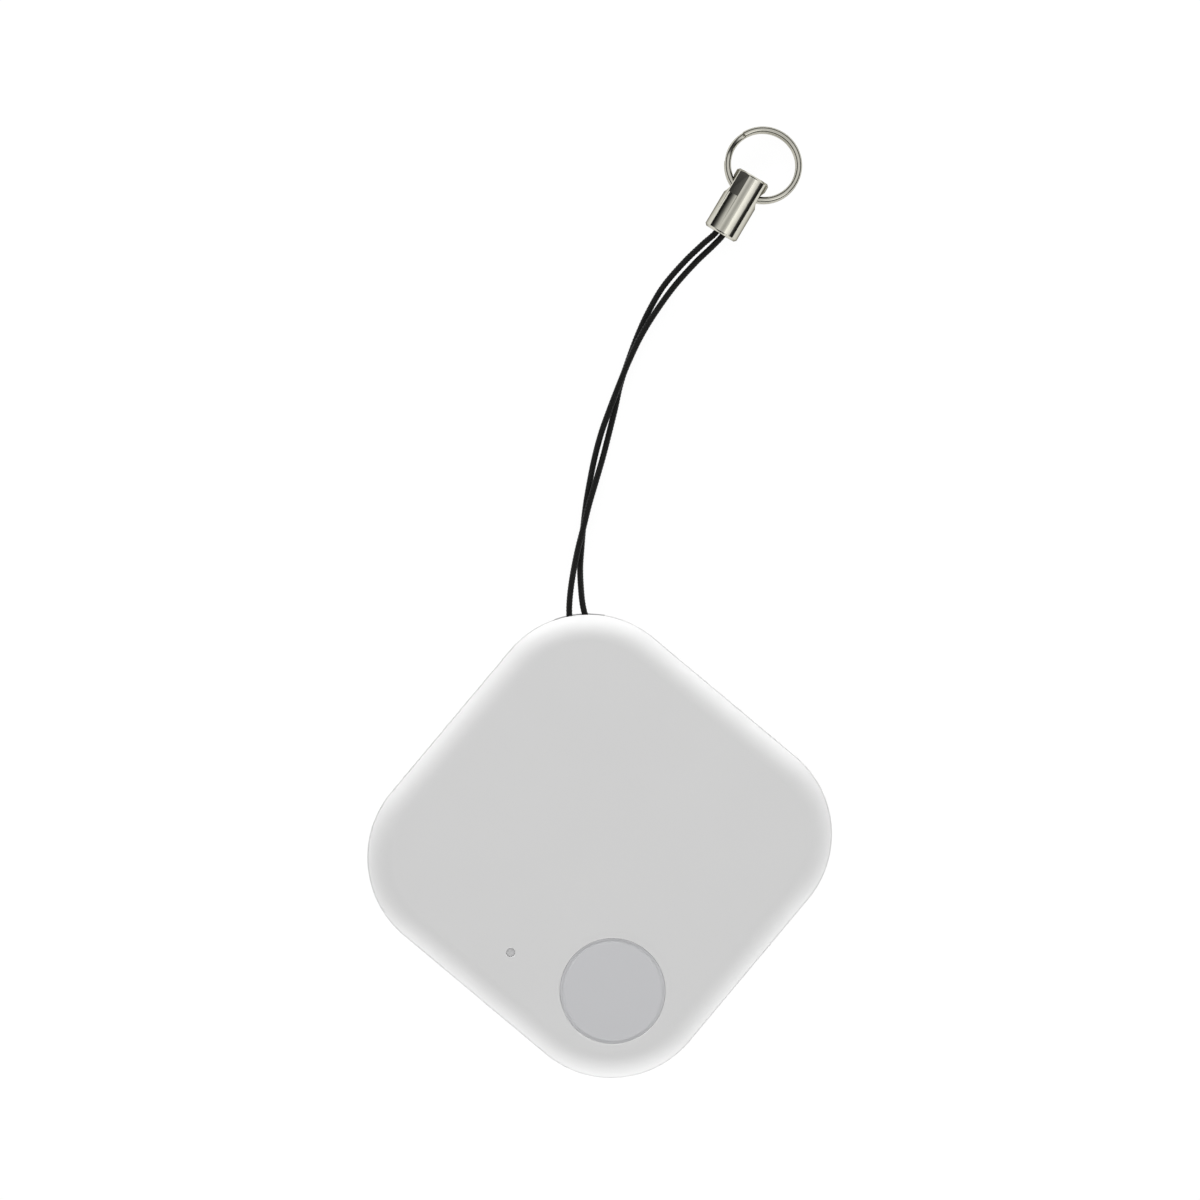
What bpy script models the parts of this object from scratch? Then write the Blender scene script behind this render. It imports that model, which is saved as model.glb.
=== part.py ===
"""Bluetooth tracker tag: a rounded-square case, its electronics, a cord loop and a split ring.

The tag lies on its rear face. The origin is the centre of the rear face, +Z comes out of the
front face, and +Y points to the corner that the cord leaves. Lengths are in metres.
"""

import math

import bmesh
import bpy
from mathutils import Matrix, Vector

MM = 0.001

# Case shells
CASE_SIDE = 40.0 * MM
CASE_CORNER = 10.5 * MM
CASE_DEPTH = 7.0 * MM
WALL = 1.4 * MM
FACE = 1.2 * MM
FRONT_FILLET = 2.6 * MM
REAR_FILLET = 1.8 * MM
REAR_HEIGHT = 3.35 * MM
SEAM_GAP = 0.15 * MM
RIM_STEP = 0.25 * MM
RIM_CHAMFER = 0.12 * MM
LIP_THICKNESS = 0.55 * MM
LIP_HEIGHT = 1.0 * MM
LIP_CLEARANCE = 0.1 * MM
CEILING_CHAMFER = 0.6 * MM

# Fits between neighbouring pieces
TOUCH_GAP = 0.05 * MM
SLIDE_CLEARANCE = 0.1 * MM

# Push button, status light and their places on the face
BUTTON_FROM_TIP = 9.03 * MM
BUTTON_RADIUS = 5.05 * MM
BUTTON_GROOVE = 0.37 * MM
BUTTON_CROWN = 0.3 * MM
BUTTON_EDGE = 0.2 * MM
BUTTON_PROUD = 0.12 * MM
BUTTON_FLANGE = 0.55 * MM
BUTTON_FLANGE_THICKNESS = 0.3 * MM
BUTTON_WALL = 0.6 * MM
BUTTON_STEM_RADIUS = 1.3 * MM
BUTTON_TRAVEL = 0.3 * MM
LIGHT_FROM_BUTTON = (-10.05 * MM, 4.86 * MM)
LIGHT_HOLE_RADIUS = 0.4 * MM
LIGHT_PIPE_RADIUS = 0.33 * MM
LIGHT_PIPE_FLANGE = 0.8 * MM
LIGHT_PIPE_FROM_LED = 0.3 * MM
LIGHT_RECESS = 0.15 * MM

# Circuit board and its screws
BOARD_RAISE = 1.4 * MM
BOARD_THICKNESS = 0.8 * MM
BOARD_CLEARANCE = 0.4 * MM
POCKET_CLEARANCE = 2.3 * MM
BOSS_RADIUS = 1.6 * MM
BOSS_FROM_TIP = 7.7 * MM
SCREW_RADIUS = 0.6 * MM
SCREW_HEAD_RADIUS = 1.2 * MM
SCREW_HEAD_HEIGHT = 0.7 * MM
SCREW_HEAD_EDGE = (0.36 * MM, 0.28 * MM)
SCREW_RECESS = (1.44 * MM, 0.3 * MM)
SCREW_RECESS_DEPTH = 0.35 * MM
SCREW_BITE = 0.9 * MM
SCREW_HOLE_SPARE = 0.6 * MM
SOLDER_GAP = 0.05 * MM

# Components on the board; their places are counted from the cell's centre, the LED's apart
CHIP_SIZE = (4.0 * MM, 4.0 * MM, 0.85 * MM)
CHIP_PLACE = (5.5 * MM, -13.6 * MM)
CRYSTAL_SIZE = (3.2 * MM, 2.5 * MM, 0.7 * MM)
CRYSTAL_PLACE = (10.6 * MM, -11.6 * MM)
CRYSTAL_TURN = math.radians(45.0)
ANTENNA_SIZE = (5.2 * MM, 2.0 * MM, 1.1 * MM)
ANTENNA_PLACE = (12.2 * MM, 6.7 * MM)
ANTENNA_TURN = math.radians(-45.0)
LED_SIZE = (1.6 * MM, 0.8 * MM, 0.6 * MM)
LED_TURN = math.radians(-45.0)
INDUCTOR_RADIUS = 1.5 * MM
INDUCTOR_HEIGHT = 1.2 * MM
INDUCTOR_FLANGE = 0.3 * MM
INDUCTOR_WAIST = 0.35 * MM
INDUCTOR_PLACE = (-5.4 * MM, -13.9 * MM)
CAPACITOR_SIZE = (0.8 * MM, 1.6 * MM, 0.8 * MM)
CAPACITOR_PLACES = ((6.8 * MM, -17.6 * MM), (5.0 * MM, -17.6 * MM), (-12.6 * MM, -7.2 * MM))
RESISTOR_SIZE = (1.0 * MM, 0.5 * MM, 0.35 * MM)
RESISTOR_PLACES = ((-7.9 * MM, -15.6 * MM), (-4.2 * MM, -17.0 * MM))
COMPONENT_EDGE = 0.08 * MM

# Tact switch
SWITCH_SIDE = 4.5 * MM
SWITCH_HEIGHT = 1.0 * MM
SWITCH_FLOOR = 0.15 * MM
SWITCH_WELL_RADIUS = 1.7 * MM
FRAME_THICKNESS = 0.15 * MM
PLUNGER_RADIUS = 1.0 * MM
PLUNGER_FLANGE = 0.4 * MM
PLUNGER_FLANGE_THICKNESS = 0.2 * MM
PLUNGER_PROUD = 0.35 * MM
DOME_THICKNESS = 0.08 * MM
DOME_RISE = 0.1 * MM

# Coin cell and its contacts
CELL_RADIUS = 10.0 * MM
CELL_HEIGHT = 3.2 * MM
CELL_FROM_BUZZER = 2.0 * MM
CELL_SIDE_CLEARANCE = 0.4 * MM
CELL_METAL = 0.25 * MM
CELL_SHOULDER = 0.4 * MM
CELL_BEND = 0.2 * MM
CELL_LIP_REACH = 0.6 * MM
CELL_LIP_LIFT = 0.1 * MM
CELL_LIP_HEIGHT = 0.5 * MM
CELL_LIP_SLOPE = 0.12 * MM
CELL_CAP_INSET = 1.1 * MM
CELL_CAP_HEIGHT = 0.9 * MM
SEAL_HEIGHT = 1.2 * MM
SEAL_GAP = 0.08 * MM
SEAL_LIFT = 0.15 * MM
PELLET_CLEARANCE = 0.2 * MM
LEAF_THICKNESS = 0.15 * MM
LEAF_WIDTH = 3.0 * MM
# Steps of the contact on the can's side: out from the can, and down from the cell's top
POSITIVE_FOOT = 3.0 * MM
POSITIVE_UPRIGHT = 1.0 * MM
POSITIVE_TOP = 0.55 * MM
POSITIVE_BEND = (0.5 * MM, 0.2 * MM)
POSITIVE_LEG = (0.15 * MM, 0.75 * MM)
# Steps of the contact under the cap: out from the board's hole, and its tip from the centre
NEGATIVE_FOOT = 2.2 * MM
NEGATIVE_BEND = (0.6 * MM, -0.2 * MM)
NEGATIVE_TIP = 2.0 * MM
NEGATIVE_HEADING = math.radians(-55.0)

# Buzzer
PIEZO_FROM_BUTTON = 0.435 * MM
PIEZO_PLATE_RADIUS = 13.5 * MM
PIEZO_PLATE_THICKNESS = 0.2 * MM
PIEZO_CERAMIC_RADIUS = 10.0 * MM
PIEZO_CERAMIC_THICKNESS = 0.2 * MM
SPRING_WIDTH = 1.2 * MM
# Steps of a spring: along its foot, up over its bend, to its touching edge and down its tail
SPRING_FOOT = (-1.0 * MM, 0.9 * MM)
SPRING_BEND = (1.5 * MM, 0.4 * MM)
SPRING_EDGE = -0.3 * MM
SPRING_TAIL = (-1.1 * MM, 0.35 * MM)
RIM_SPRING_FROM_CELL = 1.8 * MM
CENTRE_SPRING_FROM_CELL = 1.2 * MM

# Cord loop on its post
POST_FROM_TIP = 3.5 * MM
POST_RADIUS = 0.9 * MM
POST_TOP_CLEARANCE = 0.3 * MM
CORD_DIAMETER = 0.66 * MM
CORD_CLEARANCE = 0.07 * MM
CORD_HEIGHT = 3.2 * MM
SLOT_CLEARANCE = 0.42 * MM
SLOT_WIDTH = 5.2 * MM

# Crimp sleeve and split ring
SLEEVE_MOUTH = (17.91 * MM, 61.57 * MM)
SLEEVE_HEADING = math.radians(54.3)
SLEEVE_RADIUS = 1.85 * MM
SLEEVE_LENGTH = 6.84 * MM
SLEEVE_CHAMFER = 0.25 * MM
SLEEVE_LIFT = 0.03 * MM
SLEEVE_BORE_CLEARANCE = 0.165 * MM
SLEEVE_BORE_DEPTH = 3.2 * MM
CORD_DEPTHS_IN_BORE = (0.2 * MM, 2.9 * MM)
CROSS_HOLE_FROM_MOUTH = 4.94 * MM
CROSS_HOLE_CLEARANCE = 0.14 * MM
RING_RADIUS = 3.675 * MM
RING_WIRE = 0.65 * MM
RING_TURN_GAP = 0.05 * MM
RING_SAG = 0.25 * MM
RING_SIDE_SHIFT = 0.25 * MM
RING_JOGGLE_AT = math.radians(178.7)
RING_JOGGLE_HALF = math.radians(20.0)
RING_END_GAP = math.radians(25.0)

# Route of the two strands, from the slot to the mouth of the sleeve, on the axis of the cord,
# in millimetres
LEFT_STRAND = (
    (-1.05, 23.20, 3.20), (-0.92, 24.80, 3.05), (-0.60, 26.60, 2.45), (-0.10, 28.60, 1.64),
    (0.50, 30.60, 1.20), (1.20, 32.60, 1.09), (2.03, 35.00, 1.04), (2.97, 37.40, 0.84),
    (3.90, 39.80, 0.47), (4.78, 42.30, 0.35), (5.57, 44.60, 0.35), (6.33, 47.00, 0.35),
    (7.35, 49.40, 0.35), (8.50, 51.80, 0.35), (9.80, 54.10, 0.37), (11.60, 56.65, 0.56),
    (13.95, 58.95, 1.12), (16.00, 60.60, 1.64),
)
RIGHT_STRAND = (
    (0.72, 23.20, 3.20), (0.47, 24.80, 2.98), (0.44, 26.60, 2.20), (0.54, 28.60, 1.03),
    (0.85, 30.60, 0.46), (1.20, 32.60, 0.35), (1.70, 35.00, 0.35), (2.33, 37.40, 0.35),
    (3.06, 39.85, 0.38), (3.96, 42.30, 0.64), (5.02, 44.60, 0.95), (6.20, 47.00, 1.08),
    (7.45, 49.40, 1.09), (8.85, 51.75, 1.06), (10.50, 54.00, 0.90), (12.70, 56.55, 0.80),
    (15.10, 58.80, 1.18), (17.10, 60.40, 1.64),
)

# Fineness of the round shapes
CORNER_STEPS = 10
FILLET_STEPS = 5
ROUND_STEPS = 24
WIDE_STEPS = 48
CROWN_STEPS = 4
LOOP_STEPS = 6
RING_STEPS_PER_TURN = 32
SPLINE_STEPS = 2
SHARP_ANGLE = math.radians(35.0)
MERGE_DISTANCE = 1e-7
HUB_SIZE = 2.0 * MM

# Places that follow from the sizes above
CASE_TIP = (CASE_SIDE / 2 - CASE_CORNER) * math.sqrt(2) + CASE_CORNER
CEILING = CASE_DEPTH - FACE
FRONT_BOTTOM = REAR_HEIGHT + SEAM_GAP
BOARD_BOTTOM = FACE + BOARD_RAISE
BOARD_TOP = BOARD_BOTTOM + BOARD_THICKNESS
PART_BOTTOM = BOARD_TOP + SOLDER_GAP
SWITCH_TOP = PART_BOTTOM + SWITCH_HEIGHT
FRAME_BOTTOM = SWITCH_TOP + TOUCH_GAP
PLUNGER_TOP = FRAME_BOTTOM + FRAME_THICKNESS + PLUNGER_PROUD
CELL_BOTTOM = FACE + TOUCH_GAP + LEAF_THICKNESS + 2 * TOUCH_GAP
CELL_TOP = CELL_BOTTOM + CELL_HEIGHT
PIEZO_PLATE_BOTTOM = CEILING - TOUCH_GAP - PIEZO_PLATE_THICKNESS
PIEZO_CERAMIC_BOTTOM = PIEZO_PLATE_BOTTOM - TOUCH_GAP - PIEZO_CERAMIC_THICKNESS
BUTTON_PLACE = (0.0, BUTTON_FROM_TIP - CASE_TIP)
LIGHT_PLACE = (LIGHT_FROM_BUTTON[0], BUTTON_PLACE[1] + LIGHT_FROM_BUTTON[1])
BUTTON_FLANGE_RADIUS = BUTTON_RADIUS + BUTTON_GROOVE + BUTTON_FLANGE
PIEZO_OFFSET = BUTTON_PLACE[1] + BUTTON_FLANGE_RADIUS + PIEZO_FROM_BUTTON + PIEZO_PLATE_RADIUS
CELL_OFFSET = PIEZO_OFFSET - CELL_FROM_BUZZER
CELL_HOLE_RADIUS = CELL_RADIUS + CELL_SIDE_CLEARANCE
RIM_SPRING_PLACE = (-CELL_HOLE_RADIUS - RIM_SPRING_FROM_CELL, PIEZO_OFFSET)
CENTRE_SPRING_PLACE = (0.0, CELL_OFFSET + CELL_HOLE_RADIUS + CENTRE_SPRING_FROM_CELL)
POST_PLACE = (0.0, CASE_TIP - POST_FROM_TIP)
BOSS_PLACES = {"left": BOSS_FROM_TIP - CASE_TIP, "right": CASE_TIP - BOSS_FROM_TIP}
CORD_RADIUS = CORD_DIAMETER / 2
SLOT_LOW = CORD_HEIGHT - CORD_RADIUS - SLOT_CLEARANCE
SLOT_HIGH = CORD_HEIGHT + CORD_RADIUS + SLOT_CLEARANCE
SLEEVE_HEIGHT = SLEEVE_RADIUS + SLEEVE_LIFT
SLEEVE_BORE_RADIUS = CORD_DIAMETER + TOUCH_GAP / 2 + SLEEVE_BORE_CLEARANCE
RING_FROM_HOLE = RING_RADIUS - RING_SAG
RING_RISE = (RING_WIRE + RING_TURN_GAP) / 2
# The far side of the ring rests on the surface that the tag lies on.
RING_TILT = math.asin((SLEEVE_HEIGHT - RING_RISE - RING_WIRE / 2) / (RING_FROM_HOLE + RING_RADIUS))
# The ring curves inside its hole, most where it leaves on the side that it is shifted from.
RING_BOW = RING_RADIUS - math.sqrt(RING_RADIUS ** 2 - (SLEEVE_RADIUS + RING_SIDE_SHIFT) ** 2)
CROSS_HOLE_RADIUS = (math.hypot(RING_BOW - RING_SAG, RING_RISE) + RING_WIRE / 2
                     + CROSS_HOLE_CLEARANCE)

FINISHES = {
    "case_white": ((0.80, 0.80, 0.80), 0.45, 0.0),
    "button_white": ((0.72, 0.72, 0.74), 0.40, 0.0),
    "clear_plastic": ((0.45, 0.47, 0.48), 0.15, 0.0),
    "cord_black": ((0.012, 0.012, 0.013), 0.70, 0.0),
    "bright_nickel": ((0.80, 0.78, 0.72), 0.15, 1.0),
    "board_green": ((0.02, 0.16, 0.06), 0.45, 0.0),
    "chip_black": ((0.02, 0.02, 0.02), 0.50, 0.0),
    "tin": ((0.66, 0.66, 0.67), 0.30, 1.0),
    "ceramic_tan": ((0.45, 0.34, 0.22), 0.55, 0.0),
    "ceramic_white": ((0.80, 0.79, 0.75), 0.50, 0.0),
    "led_lens": ((0.75, 0.72, 0.40), 0.25, 0.0),
    "ferrite": ((0.06, 0.06, 0.065), 0.60, 0.0),
    "steel": ((0.60, 0.60, 0.60), 0.28, 1.0),
    "cathode_black": ((0.03, 0.03, 0.03), 0.90, 0.0),
    "gasket_grey": ((0.35, 0.35, 0.36), 0.60, 0.0),
    "spring_gold": ((0.85, 0.65, 0.30), 0.25, 1.0),
    "brass": ((0.80, 0.60, 0.25), 0.30, 1.0),
}


# Scene, materials and objects

def clear_scene():
    for thing in list(bpy.data.objects):
        bpy.data.objects.remove(thing, do_unlink=True)


def hub(name, place, parent=None):
    """An empty on the axis of a moving body's joint, which the body's pieces hang on."""
    empty = bpy.data.objects.new(name, None)
    empty.empty_display_size = HUB_SIZE
    empty.location = place
    bpy.context.scene.collection.objects.link(empty)
    bpy.context.view_layer.update()
    if parent:
        hang(empty, parent)
    return empty


def hang(item, parent):
    """Parents an item and keeps the place that it has in the world."""
    item.parent = parent
    item.matrix_parent_inverse = parent.matrix_world.inverted()
    bpy.context.view_layer.update()


def paint(item, finish):
    colour, roughness, metallic = FINISHES[finish]
    material = bpy.data.materials.new(f"{item.name}_{finish}")
    material.use_nodes = True
    shader = material.node_tree.nodes["Principled BSDF"]
    shader.inputs["Base Color"].default_value = (*colour, 1.0)
    shader.inputs["Roughness"].default_value = roughness
    shader.inputs["Metallic"].default_value = metallic
    item.data.materials.append(material)


def mesh_object(name, bm):
    bmesh.ops.remove_doubles(bm, verts=bm.verts, dist=MERGE_DISTANCE)
    bmesh.ops.recalc_face_normals(bm, faces=bm.faces)
    mesh = bpy.data.meshes.new(name)
    bm.to_mesh(mesh)
    bm.free()
    mesh.shade_smooth()
    mesh.set_sharp_from_angle(angle=SHARP_ANGLE)
    item = bpy.data.objects.new(name, mesh)
    bpy.context.scene.collection.objects.link(item)
    return item


def piece(name, bm, finish, parent):
    item = mesh_object(name, bm)
    paint(item, finish)
    hang(item, parent)
    return item


def helper(name, bm):
    """A hidden shape that a Boolean cuts with or joins."""
    item = mesh_object(name, bm)
    item.hide_render = True
    item.display_type = "WIRE"
    return item


def combine(item, operation, other):
    modifier = item.modifiers.new(other.name, "BOOLEAN")
    modifier.operation = operation
    modifier.solver = "EXACT"
    modifier.object = other


# Shapes

def add_block(bm, centre, size, low, turn=0.0):
    """A box on its centre in plan, standing on a height, turned about the vertical."""
    place = Matrix.Translation((centre[0], centre[1], low + size[2] / 2))
    matrix = place @ Matrix.Rotation(turn, 4, "Z") @ Matrix.Diagonal((*size, 1.0))
    bmesh.ops.create_cube(bm, size=1.0, matrix=matrix)


def add_rod(bm, centre, radius, low, high, steps=ROUND_STEPS):
    matrix = Matrix.Translation((centre[0], centre[1], (low + high) / 2))
    bmesh.ops.create_cone(bm, cap_ends=True, segments=steps, radius1=radius, radius2=radius,
                          depth=high - low, matrix=matrix)


def rod(centre, radius, low, high, steps=ROUND_STEPS):
    bm = bmesh.new()
    add_rod(bm, centre, radius, low, high, steps)
    return bm


def turned(profile, centre=(0.0, 0.0), closed=False, steps=ROUND_STEPS):
    """A profile of (radius, height) points turned about the vertical through its centre."""
    bm = bmesh.new()
    points = [bm.verts.new((centre[0] + radius, centre[1], height)) for radius, height in profile]
    pairs = list(zip(points, points[1:]))
    if closed:
        pairs.append((points[-1], points[0]))
    edges = [bm.edges.new(pair) for pair in pairs]
    bmesh.ops.spin(bm, geom=points + edges, cent=(*centre, 0.0), axis=(0.0, 0.0, 1.0),
                   angle=2 * math.pi, steps=steps, use_merge=True)
    bmesh.ops.remove_doubles(bm, verts=bm.verts, dist=MERGE_DISTANCE)
    return bm


def crown_points(radius, rise):
    """(radius, height) points of a shallow crown, from its middle out to its edge."""
    shares = [step / CROWN_STEPS for step in range(CROWN_STEPS + 1)]
    return [(radius * share, rise * (1 - share ** 2)) for share in shares]


def case_outline(inset):
    """Points of the case's rounded square, set in by a distance. Its corners lie on X and Y."""
    middle = (CASE_SIDE / 2 - CASE_CORNER) * math.sqrt(2)
    radius = CASE_CORNER - inset
    points = []
    for corner in range(4):
        heading = corner * math.pi / 2
        for step in range(CORNER_STEPS + 1):
            angle = heading + (step / CORNER_STEPS - 0.5) * math.pi / 2
            points.append((middle * math.cos(heading) + radius * math.cos(angle),
                           middle * math.sin(heading) + radius * math.sin(angle)))
    return points


def case_solid(levels):
    """Rounded-square loops at (inset, height), skinned in order and capped at both ends."""
    bm = bmesh.new()
    loops = [[bm.verts.new((x, y, height)) for x, y in case_outline(inset)]
             for inset, height in levels]
    bm.faces.new(loops[0])
    bm.faces.new(loops[-1])
    for lower, upper in zip(loops, loops[1:]):
        for here in range(len(lower)):
            bm.faces.new((lower[here - 1], lower[here], upper[here], upper[here - 1]))
    return bm


def fillet(radius, centre_inset, centre_height, start, stop):
    """(inset, height) points of a quarter round between two angles, in degrees."""
    points = []
    for step in range(FILLET_STEPS + 1):
        angle = math.radians(start + (stop - start) * step / FILLET_STEPS)
        points.append((centre_inset - radius * math.cos(angle),
                       centre_height + radius * math.sin(angle)))
    return points


def strip(path, width, spot, heading):
    """A bent metal strip: a path of (run, height) points given its thickness and width."""
    half = LEAF_THICKNESS / 2
    upper, lower = [], []
    for index, (run, height) in enumerate(path):
        before = Vector(path[max(index - 1, 0)])
        after = Vector(path[min(index + 1, len(path) - 1)])
        here = Vector((run, height))
        normals = []
        for along in (here - before, after - here):
            if along.length > 0:
                normals.append(Vector((-along.y, along.x)).normalized())
        middle = sum(normals, Vector((0.0, 0.0))).normalized()
        reach = half / middle.dot(normals[0])
        upper.append(here + middle * reach)
        lower.append(here - middle * reach)
    bm = bmesh.new()
    outline = upper + lower[::-1]
    face = bm.faces.new([bm.verts.new((point.x, -width / 2, point.y)) for point in outline])
    grown = bmesh.ops.extrude_face_region(bm, geom=[face])
    moved = [part for part in grown["geom"] if isinstance(part, bmesh.types.BMVert)]
    bmesh.ops.translate(bm, vec=(0.0, width, 0.0), verts=moved)
    place = Matrix.Translation((*spot, 0.0)) @ Matrix.Rotation(heading, 4, "Z")
    bmesh.ops.transform(bm, matrix=place, verts=bm.verts)
    return bm


def smooth_curve(points, steps):
    """A curve through all the points, with evenly spaced values between each two of them."""
    ends = [2 * points[0] - points[1]] + points + [2 * points[-1] - points[-2]]
    curve = []
    for a, b, c, d in zip(ends, ends[1:], ends[2:], ends[3:]):
        for step in range(steps):
            t = step / steps
            curve.append(0.5 * (2 * b + (c - a) * t + (2 * a - 5 * b + 4 * c - d) * t ** 2
                                + (3 * b - a - 3 * c + d) * t ** 3))
    return curve + [points[-1]]


def tube(name, points, radius, finish, parent):
    curve = bpy.data.curves.new(name, "CURVE")
    curve.dimensions = "3D"
    curve.bevel_depth = radius
    curve.bevel_resolution = 2
    curve.use_fill_caps = True
    spline = curve.splines.new("POLY")
    spline.points.add(len(points) - 1)
    for spot, point in zip(spline.points, points):
        spot.co = (*point, 1.0)
    item = bpy.data.objects.new(name, curve)
    bpy.context.scene.collection.objects.link(item)
    paint(item, finish)
    hang(item, parent)
    return item


# Case shells

def slot_cutter(low, high):
    """The opening in the wall at the top corner, which the two strands leave through."""
    bm = bmesh.new()
    depth = WALL + CASE_CORNER - math.sqrt(CASE_CORNER ** 2 - SLOT_WIDTH ** 2 / 4) + RIM_STEP
    size = (SLOT_WIDTH, 2 * depth, high - low)
    add_block(bm, (0.0, CASE_TIP), size, low)
    return bm


def rear_cover(case):
    """The rear shell, with its snap lip, cord post and screw bosses moulded on."""
    lip_outer = WALL - LIP_THICKNESS
    levels = fillet(REAR_FILLET, REAR_FILLET, REAR_FILLET, -90, 0)
    levels += [(0.0, REAR_HEIGHT - RIM_CHAMFER), (RIM_CHAMFER, REAR_HEIGHT),
               (lip_outer, REAR_HEIGHT), (lip_outer, REAR_HEIGHT + LIP_HEIGHT),
               (WALL, REAR_HEIGHT + LIP_HEIGHT), (WALL, FACE)]
    shell = piece("rear_cover", case_solid(levels), "case_white", case)
    raised = bmesh.new()
    add_rod(raised, POST_PLACE, POST_RADIUS, FACE / 2, CEILING - POST_TOP_CLEARANCE)
    for x in BOSS_PLACES.values():
        add_rod(raised, (x, 0.0), BOSS_RADIUS, FACE / 2, BOARD_BOTTOM - TOUCH_GAP)
    combine(shell, "UNION", helper("rear_cover_raised", raised))
    cut = slot_cutter(SLOT_LOW, CASE_DEPTH)
    hole_bottom = BOARD_BOTTOM - SCREW_BITE - SCREW_HOLE_SPARE
    for x in BOSS_PLACES.values():
        add_rod(cut, (x, 0.0), SCREW_RADIUS + SLIDE_CLEARANCE, hole_bottom, CASE_DEPTH)
    combine(shell, "DIFFERENCE", helper("rear_cover_cuts", cut))


def front_cover(lid):
    """The front shell, which overlaps the rear shell's lip and holds the button and the buzzer."""
    rebate = WALL - LIP_THICKNESS - LIP_CLEARANCE
    rebate_top = REAR_HEIGHT + LIP_HEIGHT + LIP_CLEARANCE
    fillet_inset = RIM_STEP + FRONT_FILLET
    levels = fillet(FRONT_FILLET, fillet_inset, CASE_DEPTH - FRONT_FILLET, 90, 0)
    levels += [(RIM_STEP, FRONT_BOTTOM), (rebate, FRONT_BOTTOM), (rebate, rebate_top),
               (WALL, rebate_top), (WALL, CEILING - CEILING_CHAMFER),
               (WALL + CEILING_CHAMFER, CEILING)]
    shell = piece("front_cover", case_solid(levels), "case_white", lid)
    cut = slot_cutter(0.0, SLOT_HIGH)
    add_rod(cut, BUTTON_PLACE, BUTTON_RADIUS + BUTTON_GROOVE, CEILING - FACE, CASE_DEPTH + FACE,
            WIDE_STEPS)
    add_rod(cut, LIGHT_PLACE, LIGHT_HOLE_RADIUS, CEILING - FACE, CASE_DEPTH + FACE)
    combine(shell, "DIFFERENCE", helper("front_cover_cuts", cut))


# Button and status light

def button_cap(button):
    """A crowned cap, held under the face by its flange, with a stem over the switch plunger."""
    edge = CASE_DEPTH + BUTTON_PROUD - BUTTON_CROWN
    crown = [(radius, edge + rise)
             for radius, rise in crown_points(BUTTON_RADIUS - BUTTON_EDGE, BUTTON_CROWN)]
    flange_top = CEILING - TOUCH_GAP
    flange_bottom = flange_top - BUTTON_FLANGE_THICKNESS
    inner = BUTTON_RADIUS - BUTTON_WALL
    roof = edge - BUTTON_WALL
    stem_bottom = PLUNGER_TOP + TOUCH_GAP
    profile = crown + [(BUTTON_RADIUS, edge - BUTTON_EDGE), (BUTTON_RADIUS, flange_top),
                       (BUTTON_FLANGE_RADIUS, flange_top), (BUTTON_FLANGE_RADIUS, flange_bottom),
                       (inner, flange_bottom), (inner, roof), (BUTTON_STEM_RADIUS, roof),
                       (BUTTON_STEM_RADIUS, stem_bottom), (0.0, stem_bottom)]
    piece("button_cap", turned(profile, BUTTON_PLACE, steps=WIDE_STEPS), "button_white",
          button)


def light_pipe(lid):
    """A clear pin pressed in the small hole, standing just over the status LED."""
    top = CASE_DEPTH - LIGHT_RECESS
    flange_top = CEILING - TOUCH_GAP
    bottom = PART_BOTTOM + LED_SIZE[2] + LIGHT_PIPE_FROM_LED
    profile = [(0.0, top), (LIGHT_PIPE_RADIUS, top), (LIGHT_PIPE_RADIUS, flange_top),
               (LIGHT_PIPE_FLANGE, flange_top), (LIGHT_PIPE_FLANGE, bottom), (0.0, bottom)]
    piece("light_pipe", turned(profile, LIGHT_PLACE), "clear_plastic", lid)


# Buzzer

def buzzer(lid, case):
    """A ceramic disc on a brass plate under the face, and the two springs that feed it."""
    centre = (0.0, PIEZO_OFFSET)
    plate = rod(centre, PIEZO_PLATE_RADIUS, PIEZO_PLATE_BOTTOM, CEILING - TOUCH_GAP, WIDE_STEPS)
    piece("piezo_plate", plate, "brass", lid)
    ceramic = rod(centre, PIEZO_CERAMIC_RADIUS, PIEZO_CERAMIC_BOTTOM,
                  PIEZO_PLATE_BOTTOM - TOUCH_GAP, WIDE_STEPS)
    piece("piezo_ceramic", ceramic, "ceramic_white", lid)
    foot = PART_BOTTOM + LEAF_THICKNESS / 2
    springs = (("piezo_rim_spring", RIM_SPRING_PLACE, PIEZO_PLATE_BOTTOM, math.radians(90)),
               ("piezo_center_spring", CENTRE_SPRING_PLACE, PIEZO_CERAMIC_BOTTOM, math.radians(180)))
    for name, place, target, heading in springs:
        tip = target - TOUCH_GAP - LEAF_THICKNESS
        path = [(SPRING_FOOT[0], foot), (SPRING_FOOT[1], foot),
                (SPRING_BEND[0], foot + SPRING_BEND[1]), (SPRING_EDGE, tip),
                (SPRING_TAIL[0], tip - SPRING_TAIL[1])]
        piece(name, strip(path, SPRING_WIDTH, place, heading), "spring_gold", case)


# Circuit board and its components

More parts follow.
